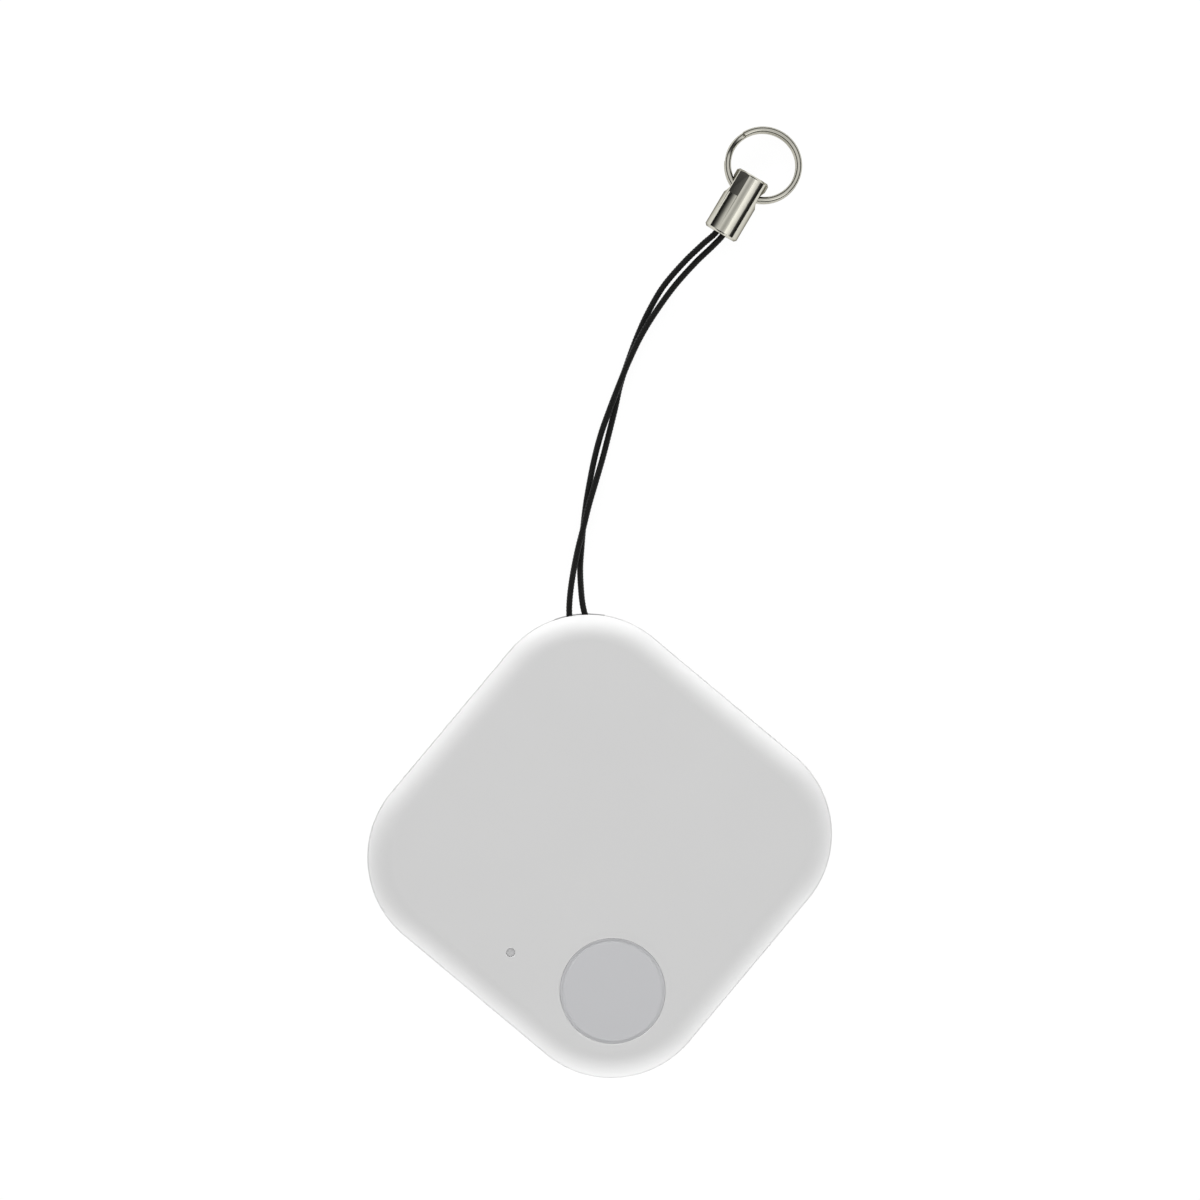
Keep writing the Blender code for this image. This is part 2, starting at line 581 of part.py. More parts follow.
def circuit_board(case):
    """The board follows the case inside, cut back for the cord post, the cell and the screws."""
    inset = WALL + BOARD_CLEARANCE
    board = piece("circuit_board", case_solid([(inset, BOARD_BOTTOM), (inset, BOARD_TOP)]),
                  "board_green", case)
    cut = bmesh.new()
    pocket_edge = POST_PLACE[1] - POST_RADIUS - POCKET_CLEARANCE
    pocket = (CASE_SIDE, CASE_SIDE, CASE_DEPTH)
    add_block(cut, (0.0, pocket_edge + CASE_SIDE / 2), pocket, 0.0)
    add_rod(cut, (0.0, CELL_OFFSET), CELL_HOLE_RADIUS, 0.0, CASE_DEPTH, WIDE_STEPS)
    for x in BOSS_PLACES.values():
        add_rod(cut, (x, 0.0), SCREW_RADIUS + SLIDE_CLEARANCE, 0.0, CASE_DEPTH)
    combine(board, "DIFFERENCE", helper("circuit_board_cuts", cut))


def from_cell(place):
    """A place in plan that is counted from the centre of the coin cell."""
    return (place[0], CELL_OFFSET + place[1])


def block_component(name, place, size, finish, case, turn=0.0):
    bm = bmesh.new()
    add_block(bm, place, size, PART_BOTTOM, turn)
    bmesh.ops.bevel(bm, geom=bm.edges[:], offset=COMPONENT_EDGE, segments=1, affect="EDGES")
    piece(name, bm, finish, case)


def board_components(case):
    """The radio chip, its crystal and antenna, the status LED and the small passive parts."""
    block_component("bluetooth_chip", from_cell(CHIP_PLACE), CHIP_SIZE, "chip_black", case)
    block_component("crystal", from_cell(CRYSTAL_PLACE), CRYSTAL_SIZE, "tin", case, CRYSTAL_TURN)
    block_component("chip_antenna", from_cell(ANTENNA_PLACE), ANTENNA_SIZE, "ceramic_white",
                    case, ANTENNA_TURN)
    block_component("status_led", LIGHT_PLACE, LED_SIZE, "led_lens", case, LED_TURN)
    for number, place in enumerate(CAPACITOR_PLACES, 1):
        block_component(f"capacitor_{number}", from_cell(place), CAPACITOR_SIZE, "ceramic_tan",
                        case)
    for number, place in enumerate(RESISTOR_PLACES, 1):
        block_component(f"resistor_{number}", from_cell(place), RESISTOR_SIZE, "chip_black",
                        case)
    low, high = PART_BOTTOM, PART_BOTTOM + INDUCTOR_HEIGHT
    waist = INDUCTOR_RADIUS - INDUCTOR_WAIST
    profile = [(0.0, high), (INDUCTOR_RADIUS, high), (INDUCTOR_RADIUS, high - INDUCTOR_FLANGE),
               (waist, high - INDUCTOR_FLANGE), (waist, low + INDUCTOR_FLANGE),
               (INDUCTOR_RADIUS, low + INDUCTOR_FLANGE), (INDUCTOR_RADIUS, low), (0.0, low)]
    piece("inductor", turned(profile, from_cell(INDUCTOR_PLACE)), "ferrite", case)


def tact_switch(case, plunger):
    """A moulded base with a well, a snap dome in it, a plunger on the dome and a steel frame."""
    floor = PART_BOTTOM + SWITCH_FLOOR
    bm = bmesh.new()
    add_block(bm, BUTTON_PLACE, (SWITCH_SIDE, SWITCH_SIDE, SWITCH_HEIGHT), PART_BOTTOM)
    base = piece("switch_base", bm, "chip_black", case)
    well = rod(BUTTON_PLACE, SWITCH_WELL_RADIUS, floor, CASE_DEPTH)
    combine(base, "DIFFERENCE", helper("switch_base_well", well))

    bm = bmesh.new()
    add_block(bm, BUTTON_PLACE, (SWITCH_SIDE, SWITCH_SIDE, FRAME_THICKNESS), FRAME_BOTTOM)
    frame = piece("switch_frame", bm, "steel", case)
    hole = rod(BUTTON_PLACE, PLUNGER_RADIUS + SLIDE_CLEARANCE, 0.0, CASE_DEPTH)
    combine(frame, "DIFFERENCE", helper("switch_frame_hole", hole))

    dome_radius = SWITCH_WELL_RADIUS - SLIDE_CLEARANCE
    rim = floor + TOUCH_GAP
    shape = [(radius, rim + rise) for radius, rise in crown_points(dome_radius, DOME_RISE)]
    above = [(radius, height + DOME_THICKNESS) for radius, height in shape]
    piece("switch_dome", turned(above + shape[::-1], BUTTON_PLACE), "steel", case)

    dome_top = rim + DOME_RISE + DOME_THICKNESS
    foot = dome_top + TOUCH_GAP + BUTTON_TRAVEL
    flange = PLUNGER_RADIUS + PLUNGER_FLANGE
    profile = [(0.0, PLUNGER_TOP), (PLUNGER_RADIUS, PLUNGER_TOP),
               (PLUNGER_RADIUS, foot + PLUNGER_FLANGE_THICKNESS),
               (flange, foot + PLUNGER_FLANGE_THICKNESS), (flange, foot), (0.0, foot)]
    piece("switch_plunger", turned(profile, BUTTON_PLACE), "gasket_grey", plunger)


def board_screws(case):
    """Two pan-head screws through the board into the bosses, each with a cross recess."""
    head = BOARD_TOP + TOUCH_GAP
    top = head + SCREW_HEAD_HEIGHT
    tip = BOARD_BOTTOM - SCREW_BITE
    profile = [(0.0, top), (SCREW_HEAD_RADIUS - SCREW_HEAD_EDGE[0], top),
               (SCREW_HEAD_RADIUS, top - SCREW_HEAD_EDGE[1]), (SCREW_HEAD_RADIUS, head),
               (SCREW_RADIUS, head), (SCREW_RADIUS, tip + SCREW_RADIUS / 2),
               (SCREW_RADIUS / 2, tip), (0.0, tip)]
    length, width = SCREW_RECESS
    for side, x in BOSS_PLACES.items():
        screw = piece(f"board_screw_{side}", turned(profile, (x, 0.0)), "tin", case)
        bm = bmesh.new()
        for size in ((length, width), (width, length)):
            add_block(bm, (x, 0.0), (*size, SCREW_HEAD_HEIGHT), top - SCREW_RECESS_DEPTH)
        combine(screw, "DIFFERENCE", helper(f"board_screw_{side}_recess", bm))
        # The two arms of the cross overlap, so the cutter is joined with itself first.
        screw.modifiers[-1].use_self = True


# Coin cell and its contacts

def coin_cell(cell):
    """A can crimped over a gasket and a cap, round the black cathode."""
    centre = (0.0, CELL_OFFSET)
    low, high = CELL_BOTTOM, CELL_TOP
    outer = CELL_RADIUS
    inner = outer - CELL_METAL
    lip = outer - CELL_LIP_REACH
    lip_low = low + CELL_LIP_LIFT
    lip_high = low + CELL_LIP_HEIGHT
    cap = outer - CELL_CAP_INSET
    can = [(0.0, high), (outer - CELL_SHOULDER, high), (outer, high - CELL_SHOULDER),
           (outer, lip_low + CELL_METAL), (lip + CELL_BEND, lip_low), (lip, lip_low),
           (lip, lip_high), (inner, lip_high + CELL_LIP_SLOPE),
           (inner, high - CELL_METAL - CELL_BEND), (inner - CELL_BEND, high - CELL_METAL),
           (0.0, high - CELL_METAL)]
    piece("cell_can", turned(can, centre, steps=WIDE_STEPS), "steel", cell)
    seal_low = lip_low + TOUCH_GAP
    seal = [(cap + SEAL_GAP, low + SEAL_HEIGHT), (inner - SEAL_GAP, low + SEAL_HEIGHT),
            (inner - SEAL_GAP, lip_high + CELL_LIP_SLOPE + SEAL_LIFT),
            (lip - SEAL_GAP, lip_high + SEAL_LIFT), (lip - SEAL_GAP, seal_low),
            (cap + SEAL_GAP, seal_low)]
    piece("cell_gasket", turned(seal, centre, closed=True, steps=WIDE_STEPS),
          "gasket_grey", cell)
    cap_inner = cap - CELL_METAL
    dish = [(0.0, low + CELL_METAL), (cap_inner, low + CELL_METAL),
            (cap_inner, low + CELL_CAP_HEIGHT), (cap, low + CELL_CAP_HEIGHT),
            (cap, low + CELL_BEND), (cap - CELL_BEND, low), (0.0, low)]
    piece("cell_cap", turned(dish, centre, steps=WIDE_STEPS), "steel", cell)
    pellet = rod(centre, cap_inner - PELLET_CLEARANCE, low + CELL_METAL + SLIDE_CLEARANCE,
                 high - CELL_METAL - SLIDE_CLEARANCE, WIDE_STEPS)
    piece("cell_cathode", pellet, "cathode_black", cell)


def cell_contacts(case):
    """A leaf on the can's side for the positive pole, and one under the cap for the negative."""
    half = LEAF_THICKNESS / 2
    touch = CELL_RADIUS + TOUCH_GAP + half
    upright = touch + POSITIVE_UPRIGHT
    foot = PART_BOTTOM + half
    top = CELL_TOP - POSITIVE_TOP
    path = [(touch + POSITIVE_FOOT, foot), (upright, foot), (upright, top),
            (touch + POSITIVE_BEND[0], top + POSITIVE_BEND[1]), (touch, top - POSITIVE_LEG[0]),
            (touch, top - POSITIVE_LEG[1])]
    piece("positive_contact", strip(path, LEAF_WIDTH, (0.0, CELL_OFFSET), 0.0), "spring_gold",
          case)
    under = BOARD_BOTTOM - SOLDER_GAP - half
    low = FACE + TOUCH_GAP + half
    path = [(CELL_HOLE_RADIUS + NEGATIVE_FOOT, under), (CELL_HOLE_RADIUS + NEGATIVE_BEND[0], under),
            (CELL_HOLE_RADIUS + NEGATIVE_BEND[1], low), (NEGATIVE_TIP, low)]
    piece("negative_contact", strip(path, LEAF_WIDTH, (0.0, CELL_OFFSET), NEGATIVE_HEADING),
          "spring_gold", case)


# Cord loop, crimp sleeve and split ring

def sleeve_frame():
    """Local X across the sleeve, local Y along it from its mouth, local Z up."""
    mouth = Matrix.Translation((*SLEEVE_MOUTH, SLEEVE_HEIGHT))
    return mouth @ Matrix.Rotation(SLEEVE_HEADING - math.pi / 2, 4, "Z")


def strap_cord(strap):
    """One cord: up the left strand, round the post, and back along the right strand."""
    loop_radius = POST_RADIUS + CORD_RADIUS + CORD_CLEARANCE
    loop = []
    for step in range(LOOP_STEPS + 1):
        angle = math.pi * (1 + step / LOOP_STEPS)
        loop.append(Vector((POST_PLACE[0] + loop_radius * math.cos(angle),
                            POST_PLACE[1] + loop_radius * math.sin(angle), CORD_HEIGHT)))
    side = CORD_RADIUS + TOUCH_GAP / 2
    frame = sleeve_frame()
    strands = []
    for sign, route in ((-1, LEFT_STRAND), (1, RIGHT_STRAND)):
        inside = [frame @ Vector((sign * side, depth, 0.0)) for depth in CORD_DEPTHS_IN_BORE]
        strands.append([Vector(point) * MM for point in route] + inside)
    left = smooth_curve([loop[0]] + strands[0], SPLINE_STEPS)
    right = smooth_curve([loop[-1]] + strands[1], SPLINE_STEPS)
    tube("strap_cord", left[::-1] + loop[1:-1] + right, CORD_RADIUS, "cord_black", strap)


def crimp_sleeve(strap):
    """A bright sleeve with a blind bore for the two strands and a cross hole for the ring."""
    radius, length, chamfer = SLEEVE_RADIUS, SLEEVE_LENGTH, SLEEVE_CHAMFER
    profile = [(0.0, length), (radius - chamfer, length), (radius, length - chamfer),
               (radius, chamfer), (radius - chamfer, 0.0), (SLEEVE_BORE_RADIUS, 0.0),
               (SLEEVE_BORE_RADIUS, SLEEVE_BORE_DEPTH), (0.0, SLEEVE_BORE_DEPTH)]
    bm = turned(profile)
    upright = sleeve_frame() @ Matrix.Rotation(-math.pi / 2, 4, "X")
    bmesh.ops.transform(bm, matrix=upright, verts=bm.verts)
    sleeve = piece("crimp_sleeve", bm, "bright_nickel", strap)
    hole = rod((0.0, 0.0), CROSS_HOLE_RADIUS, -2 * radius, 2 * radius)
    across = sleeve_frame() @ Matrix.Translation((0.0, CROSS_HOLE_FROM_MOUTH, 0.0))
    bmesh.ops.transform(hole, matrix=across @ Matrix.Rotation(math.pi / 2, 4, "Y"),
                        verts=hole.verts)
    combine(sleeve, "DIFFERENCE", helper("crimp_sleeve_hole", hole))


def split_ring(ring):
    """Two turns of round wire that change level at one joggle, tilted down to the surface."""
    start = RING_JOGGLE_AT - 2 * math.pi + RING_END_GAP
    stop = RING_JOGGLE_AT + 2 * math.pi - RING_END_GAP
    count = round((stop - start) / (2 * math.pi) * RING_STEPS_PER_TURN)
    frame = sleeve_frame() @ Matrix.Translation((0.0, CROSS_HOLE_FROM_MOUTH, 0.0))
    frame = frame @ Matrix.Rotation(-RING_TILT, 4, "X")
    frame = frame @ Matrix.Translation((RING_SIDE_SHIFT, RING_FROM_HOLE, 0.0))
    points = []
    for step in range(count + 1):
        angle = start + (stop - start) * step / count
        share = (angle - RING_JOGGLE_AT) / RING_JOGGLE_HALF
        share = min(max(share, -1.0), 1.0)
        height = RING_RISE * math.sin(share * math.pi / 2)
        points.append(frame @ Vector((RING_RADIUS * math.cos(angle),
                                      RING_RADIUS * math.sin(angle), height)))
    tube("split_ring", points, RING_WIRE / 2, "bright_nickel", ring)


def build():
    clear_scene()
    hole = sleeve_frame() @ Vector((0.0, CROSS_HOLE_FROM_MOUTH, 0.0))
    case = hub("case", (0.0, 0.0, 0.0))
    lid = hub("lid", (0.0, 0.0, FRONT_BOTTOM), case)
    cell = hub("cell", (0.0, CELL_OFFSET, CELL_BOTTOM), case)
    button = hub("button", (*BUTTON_PLACE, CASE_DEPTH), lid)
    plunger = hub("plunger", (*BUTTON_PLACE, PLUNGER_TOP), case)
    strap = hub("strap", (*POST_PLACE, CORD_HEIGHT), case)
    ring = hub("ring", hole, strap)
    rear_cover(case)
    circuit_board(case)
    board_components(case)
    tact_switch(case, plunger)
    board_screws(case)
    cell_contacts(case)
    coin_cell(cell)
    buzzer(lid, case)
    light_pipe(lid)
    front_cover(lid)
    button_cap(button)
    strap_cord(strap)
    crimp_sleeve(strap)
    split_ring(ring)


build()
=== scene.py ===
import math

import bmesh
import bpy
from mathutils import Matrix, Vector


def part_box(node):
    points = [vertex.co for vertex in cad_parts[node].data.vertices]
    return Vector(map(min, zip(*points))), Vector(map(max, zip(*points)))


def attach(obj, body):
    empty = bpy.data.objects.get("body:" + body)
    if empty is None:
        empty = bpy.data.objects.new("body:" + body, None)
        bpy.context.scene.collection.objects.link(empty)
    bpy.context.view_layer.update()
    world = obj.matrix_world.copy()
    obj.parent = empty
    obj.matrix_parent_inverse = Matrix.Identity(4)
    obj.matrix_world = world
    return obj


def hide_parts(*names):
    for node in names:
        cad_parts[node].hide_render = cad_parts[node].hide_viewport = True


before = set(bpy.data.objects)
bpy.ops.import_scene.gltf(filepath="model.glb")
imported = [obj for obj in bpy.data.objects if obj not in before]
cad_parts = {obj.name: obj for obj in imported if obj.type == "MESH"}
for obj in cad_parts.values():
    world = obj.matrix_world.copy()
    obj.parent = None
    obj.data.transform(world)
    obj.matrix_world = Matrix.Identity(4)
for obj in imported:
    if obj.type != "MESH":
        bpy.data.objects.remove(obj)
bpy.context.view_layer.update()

# Camera and studio. The tag lies face up on a white acrylic table, seen from straight above
# with a long lens. Low strip lights stand on its four sides, a softbox hangs overhead, and the
# walls stay dim near the floor, so bright metal shows both light and dark bands.
VIEW_CENTRE = (0.00228, 0.02514)
VIEW_WIDTH = 0.1233
VIEW_TURN = math.radians(-5.1)
VIEW_LEVEL = 0.0032
LENS_MM = 500.0
SENSOR_MM = 36.0
NEAREST_SEEN = 0.01

camera = bpy.data.objects.new("camera", bpy.data.cameras.new("camera"))
camera.data.lens = LENS_MM
camera.data.sensor_width = SENSOR_MM
camera.data.clip_start = NEAREST_SEEN
camera.location = (*VIEW_CENTRE, VIEW_LEVEL + VIEW_WIDTH * LENS_MM / SENSOR_MM)
camera.rotation_euler = (0.0, 0.0, VIEW_TURN)
bpy.context.scene.collection.objects.link(camera)
bpy.context.scene.camera = camera
bpy.context.scene.view_settings.view_transform = "Standard"


class Wire:
    """An output of a shader node. Arithmetic on wires adds Math nodes."""

    def __init__(self, sheet, socket):
        self.sheet = sheet
        self.socket = socket

    def maths(self, operation, *values):
        return self.sheet.node("ShaderNodeMath", {"operation": operation},
                               dict(enumerate((self, *values))))

    def __add__(self, other):
        return self.maths("ADD", other)

    def __sub__(self, other):
        return self.maths("SUBTRACT", other)

    def __rsub__(self, other):
        return self.maths("MULTIPLY", -1.0).maths("ADD", other)

    def __mul__(self, other):
        return self.maths("MULTIPLY", other)

    def sine(self):
        return self.maths("SINE")

    def size(self):
        return self.maths("ABSOLUTE")

    def below(self, limit, softness):
        """1 where the wire is under the limit and 0 over it, with a soft step between."""
        return self.sheet.node("ShaderNodeMapRange", {"interpolation_type": "SMOOTHSTEP"},
                               {"Value": self, "From Min": limit - softness,
                                "From Max": limit + softness, "To Min": 1.0, "To Max": 0.0})

    __radd__ = __add__
    __rmul__ = __mul__


class Sheet:
    """A node tree on which any node is added and wired by one method."""

    def __init__(self, tree):
        self.tree = tree

    def join(self, value, socket):
        if isinstance(value, Wire):
            self.tree.links.new(value.socket, socket)
        else:
            socket.default_value = value

    def node(self, kind, settings=(), inputs=(), output=0):
        node = self.tree.nodes.new(kind)
        for name, value in dict(settings).items():
            if name == "stops":
                ramp = node.color_ramp.elements
                while len(ramp) < len(value):
                    ramp.new(1.0)
                for stop, (place, shade) in zip(ramp, value):
                    stop.position = place
                    stop.color = (*shade, 1.0)
            else:
                setattr(node, name, value)
        for name, value in dict(inputs).items():
            self.join(value, node.inputs[name])
        return Wire(self, node.outputs[output])

    def place(self):
        return self.node("ShaderNodeTexCoord", output="Object")

    def part(self, vector, axis):
        return self.node("ShaderNodeSeparateXYZ", inputs={"Vector": vector}, output=axis)

    def grain(self, vector, scale, detail=2.0):
        return self.node("ShaderNodeTexNoise", inputs={"Vector": vector, "Scale": scale,
                                                       "Detail": detail}, output="Fac")

    def tint(self, share, one, other):
        values = {"Factor": share}
        for name, colour in ((6, one), (7, other)):
            values[name] = colour if isinstance(colour, Wire) else (*colour, 1.0)
        return self.node("ShaderNodeMix", {"data_type": "RGBA"}, values, output=2)

    def relief(self, height, strength, distance):
        return self.node("ShaderNodeBump", inputs={"Strength": strength, "Distance": distance,
                                                   "Height": height})


def softbox(name, bearing, elevation, distance, size, power):
    """An area light turned to the middle of the tag; bearing 0 is +X and 90 is +Y."""
    lamp = bpy.data.objects.new(name, bpy.data.lights.new(name, "AREA"))
    lamp.data.shape = "RECTANGLE"
    lamp.data.size, lamp.data.size_y = size
    lamp.data.energy = power
    around, up = math.radians(bearing), math.radians(elevation)
    away = Vector((math.cos(around) * math.cos(up), math.sin(around) * math.cos(up),
                   math.sin(up)))
    lamp.location = away * distance
    lamp.rotation_euler = away.to_track_quat("Z", "Y").to_euler()
    bpy.context.scene.collection.objects.link(lamp)
    return lamp


STRIP_ELEVATION = 12.0
for name, bearing, distance, size, power in (
        ("strip_above", 88.0, 0.34, (0.61, 0.095), 1.19),
        ("strip_below", -93.0, 0.60, (1.03, 0.168), 2.74),
        ("strip_left", 180.0, 0.50, (0.36, 0.14), 0.26),
        ("strip_right", 0.0, 0.50, (0.36, 0.14), 0.22)):
    softbox(name, bearing, STRIP_ELEVATION, distance, size, power).visible_glossy = False
softbox("overhead_box", bearing=-36.0, elevation=51.5, distance=0.60, size=(0.20, 0.44),
        power=0.18)

# Shades of the walls and ceiling by height: 0 is level or lower, and 1 is straight up.
WALL_SHADES = ((0.0, 0.01), (0.30, 0.02), (0.53, 0.14), (0.63, 0.32), (0.86, 0.79),
               (0.96, 0.86), (1.0, 0.54))
world = bpy.data.worlds.new("studio")
world.use_nodes = True
bpy.context.scene.world = world
studio = Sheet(world.node_tree)
height = studio.part(studio.node("ShaderNodeTexCoord", output="Generated"), "Z")
walls = studio.node("ShaderNodeValToRGB",
                    {"stops": [(place, (shade, shade, shade)) for place, shade in WALL_SHADES]},
                    {"Fac": height}, output="Color")
studio.join(walls, world.node_tree.nodes["Background"].inputs["Color"])

TABLE_SIZE = 3.0
TABLE_DROP = 0.00005
TABLE_SHADE = 0.12
TABLE_ROUGHNESS = 0.8
TABLE_GLOW = 0.93


def clear_bench():
    """Leaves edit mode, with nothing selected."""
    if bpy.context.object and bpy.context.object.mode != "OBJECT":
        bpy.ops.object.mode_set(mode="OBJECT")
    bpy.ops.object.select_all(action="DESELECT")


clear_bench()
bpy.ops.mesh.primitive_plane_add(size=TABLE_SIZE, location=(0.0, 0.0, -TABLE_DROP))
table = bpy.context.object
table.name = "table"
acrylic = bpy.data.materials.new("white_acrylic_table")
acrylic.use_nodes = True
acrylic_shader = acrylic.node_tree.nodes["Principled BSDF"]
acrylic_shader.inputs["Base Color"].default_value = (TABLE_SHADE, TABLE_SHADE, TABLE_SHADE, 1.0)
acrylic_shader.inputs["Roughness"].default_value = TABLE_ROUGHNESS
acrylic_shader.inputs["Specular IOR Level"].default_value = 0.0
acrylic_shader.inputs["Emission Color"].default_value = (1.0, 1.0, 1.0, 1.0)
acrylic_shader.inputs["Emission Strength"].default_value = TABLE_GLOW
table.data.materials.append(acrylic)


# Cord loop. One thin black polyester cord, plaited from twelve yarns, is folded in half round
# the post inside the case. Both strands leave by the slot and end side by side in the crimp.
CORD_DIAMETER = 0.00066
YARNS_EACH_WAY = 6
PLAIT_LAY = 0.0021
YARN_RISE = 0.000028
YARN_ROUNDNESS = 0.00004
CORD_SIDES = 42
CORD_STEP = 0.00006
POINTS_PER_SPAN = 16
FILAMENTS = 5
STRAY_FIBRES = 9000.0
POST_CENTRE = (0.0, 0.020435)
LOOP_RADIUS = 0.0013
LOOP_LEVEL = 0.0032
LOOP_STEPS = 6
SLEEVE_MOUTH = (0.01791, 0.06157, 0.00188)
SLEEVE_HEADING = math.radians(54.3)
STRAND_SIDE = 0.000355
STRAND_DEPTHS = (0.0002, 0.0029)
LEFT_STRAND = (
    (-0.00105, 0.02320, 0.00320), (-0.00092, 0.02480, 0.00305), (-0.00060, 0.02660, 0.00245),
    (-0.00010, 0.02860, 0.00164), (0.00050, 0.03060, 0.00120), (0.00120, 0.03260, 0.00109),
    (0.00203, 0.03500, 0.00104), (0.00297, 0.03740, 0.00084), (0.00390, 0.03980, 0.00047),
    (0.00478, 0.04230, 0.00035), (0.00557, 0.04460, 0.00035), (0.00633, 0.04700, 0.00035),
    (0.00735, 0.04940, 0.00035), (0.00850, 0.05180, 0.00035), (0.00980, 0.05410, 0.00037),
    (0.01160, 0.05665, 0.00056), (0.01395, 0.05895, 0.00112), (0.01600, 0.06060, 0.00164),
)
RIGHT_STRAND = (
    (0.00072, 0.02320, 0.00320), (0.00047, 0.02480, 0.00298), (0.00044, 0.02660, 0.00220),
    (0.00054, 0.02860, 0.00103), (0.00085, 0.03060, 0.00046), (0.00120, 0.03260, 0.00035),
    (0.00170, 0.03500, 0.00035), (0.00233, 0.03740, 0.00035), (0.00306, 0.03985, 0.00038),
    (0.00396, 0.04230, 0.00064), (0.00502, 0.04460, 0.00095), (0.00620, 0.04700, 0.00108),
    (0.00745, 0.04940, 0.00109), (0.00885, 0.05175, 0.00106), (0.01050, 0.05400, 0.00090),
    (0.01270, 0.05655, 0.00080), (0.01510, 0.05880, 0.00118), (0.01710, 0.06040, 0.00164),
)

sleeve_frame = Matrix.Translation(SLEEVE_MOUTH) @ Matrix.Rotation(
    SLEEVE_HEADING - math.pi / 2, 4, "Z")


def smooth_curve(points, steps):
    """A curve through all the points, with evenly spaced values between each two of them."""
    ends = [2 * points[0] - points[1]] + points + [2 * points[-1] - points[-2]]
    curve = []
    for a, b, c, d in zip(ends, ends[1:], ends[2:], ends[3:]):
        for step in range(steps):
            t = step / steps
            curve.append(0.5 * (2 * b + (c - a) * t + (2 * a - 5 * b + 4 * c - d) * t ** 2
                                + (3 * b - a - 3 * c + d) * t ** 3))
    return curve + [points[-1]]


def evenly(points, spacing):
    """The same line again, with its points one spacing apart."""
    runs = [0.0]
    for before, after in zip(points, points[1:]):
        runs.append(runs[-1] + (after - before).length)
    count = round(runs[-1] / spacing)
    line, index = [], 0
    for step in range(count + 1):
        run = runs[-1] * step / count
        while index < len(runs) - 2 and runs[index + 1] < run:
            index += 1
        share = (run - runs[index]) / (runs[index + 1] - runs[index])
        line.append(points[index].lerp(points[index + 1], share))
    return line


def plaited_radius(around, run):
    """Radius of the plait, where yarns of the two hands pass over and under each other."""
    radius = 0.0
    for hand in (1, -1):
        own = YARNS_EACH_WAY * (around + hand * run / PLAIT_LAY)
        other = YARNS_EACH_WAY * (around - hand * run / PLAIT_LAY)
        across = 2 * (own - math.floor(own)) - 1
        over = hand * math.sin(math.pi * other) * (-1) ** math.floor(own)
        radius = max(radius, YARN_RISE * over + YARN_ROUNDNESS * (1 - across ** 2))
    return CORD_DIAMETER / 2 - YARN_RISE - YARN_ROUNDNESS + radius


def plaited_tube(name, line):
    """A tube round the line whose surface is the plait, with UVs round it and along it."""
    bm = bmesh.new()
    rings, runs, run = [], [], 0.0
    side = Vector((0.0, 0.0, 1.0))
    for index, point in enumerate(line):
        before, after = line[max(index - 1, 0)], line[min(index + 1, len(line) - 1)]
        along = (after - before).normalized()
        side = (side - along * side.dot(along)).normalized()
        up = along.cross(side)
        if index:
            run += (point - line[index - 1]).length
        ring = []
        for step in range(CORD_SIDES):
            angle = 2 * math.pi * step / CORD_SIDES
            reach = plaited_radius(step / CORD_SIDES, run)
            ring.append(bm.verts.new(point + reach * (math.cos(angle) * side
                                                      + math.sin(angle) * up)))
        rings.append(ring)
        runs.append(run)
    layer = bm.loops.layers.uv.new("round_and_along")
    for low, high, start, stop in zip(rings, rings[1:], runs, runs[1:]):
        for step in range(CORD_SIDES):
            beside = (step + 1) % CORD_SIDES
            face = bm.faces.new((low[step], low[beside], high[beside], high[step]))
            face.smooth = True
            places = ((step, start), (step + 1, start), (step + 1, stop), (step, stop))
            for loop, (column, height) in zip(face.loops, places):
                loop[layer].uv = (column / CORD_SIDES, height / PLAIT_LAY)
    bm.faces.new(rings[0][::-1])
    bm.faces.new(rings[-1])
    mesh = bpy.data.meshes.new(name)
    bm.to_mesh(mesh)
    bm.free()
    item = bpy.data.objects.new(name, mesh)
    bpy.context.scene.collection.objects.link(item)
    return item


def finish_of(name, constants=()):
    """A new material, the sheet of its nodes, and its shader with constant sockets set."""
    material = bpy.data.materials.new(name)
    material.use_nodes = True
    shader = material.node_tree.nodes["Principled BSDF"]
    for socket, value in dict(constants).items():
        shader.inputs[socket].default_value = value
    return material, Sheet(material.node_tree), shader.inputs


def black_plait():
    """Black polyester yarns: fine filaments along each yarn, with painted shade where the yarns
    dive.
    """
    material, sheet, sockets = finish_of("black_plait", {
        "Specular IOR Level": 0.22, "Sheen Weight": 0.10, "Sheen Roughness": 0.4})
    around_and_along = sheet.node("ShaderNodeTexCoord", output="UV")
    around = sheet.part(around_and_along, "X")
    along = sheet.part(around_and_along, "Y")
    right = (around + along) * (math.pi * YARNS_EACH_WAY)
    left = (around - along) * (math.pi * YARNS_EACH_WAY)
    over = right.sine() * left.sine()
    right_on_top = 1.0 - over.below(0.0, softness=0.05)
    right_filaments = (right * 2.0 * FILAMENTS).sine() * right_on_top
    left_filaments = (left * 2.0 * FILAMENTS).sine() * (1.0 - right_on_top)
    filaments = right_filaments + left_filaments
    stray = sheet.grain(sheet.place(), STRAY_FIBRES, detail=3.0)
    # Painted shade: over.size() paints the yarns darker where they dive under each other.
    dive_shade_and_fibre_tone = over.size() * 0.35 + stray * 0.5 + filaments * 0.12
    sheet.join(sheet.tint(dive_shade_and_fibre_tone, (0.0022, 0.0022, 0.0020), (0.014, 0.014, 0.013)),
               sockets["Base Color"])
    sheet.join(stray * 0.25 + 0.42, sockets["Roughness"])
    sheet.join(sheet.relief(filaments * 0.5 + stray, strength=0.5, distance=0.00001),
               sockets["Normal"])
    return material


def fit(item, material, body, node):
    """Gives a piece its finish, and lets it stand for its CAD part on that part's body."""
    item.data.materials.append(material)
    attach(item, body)
    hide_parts(node)


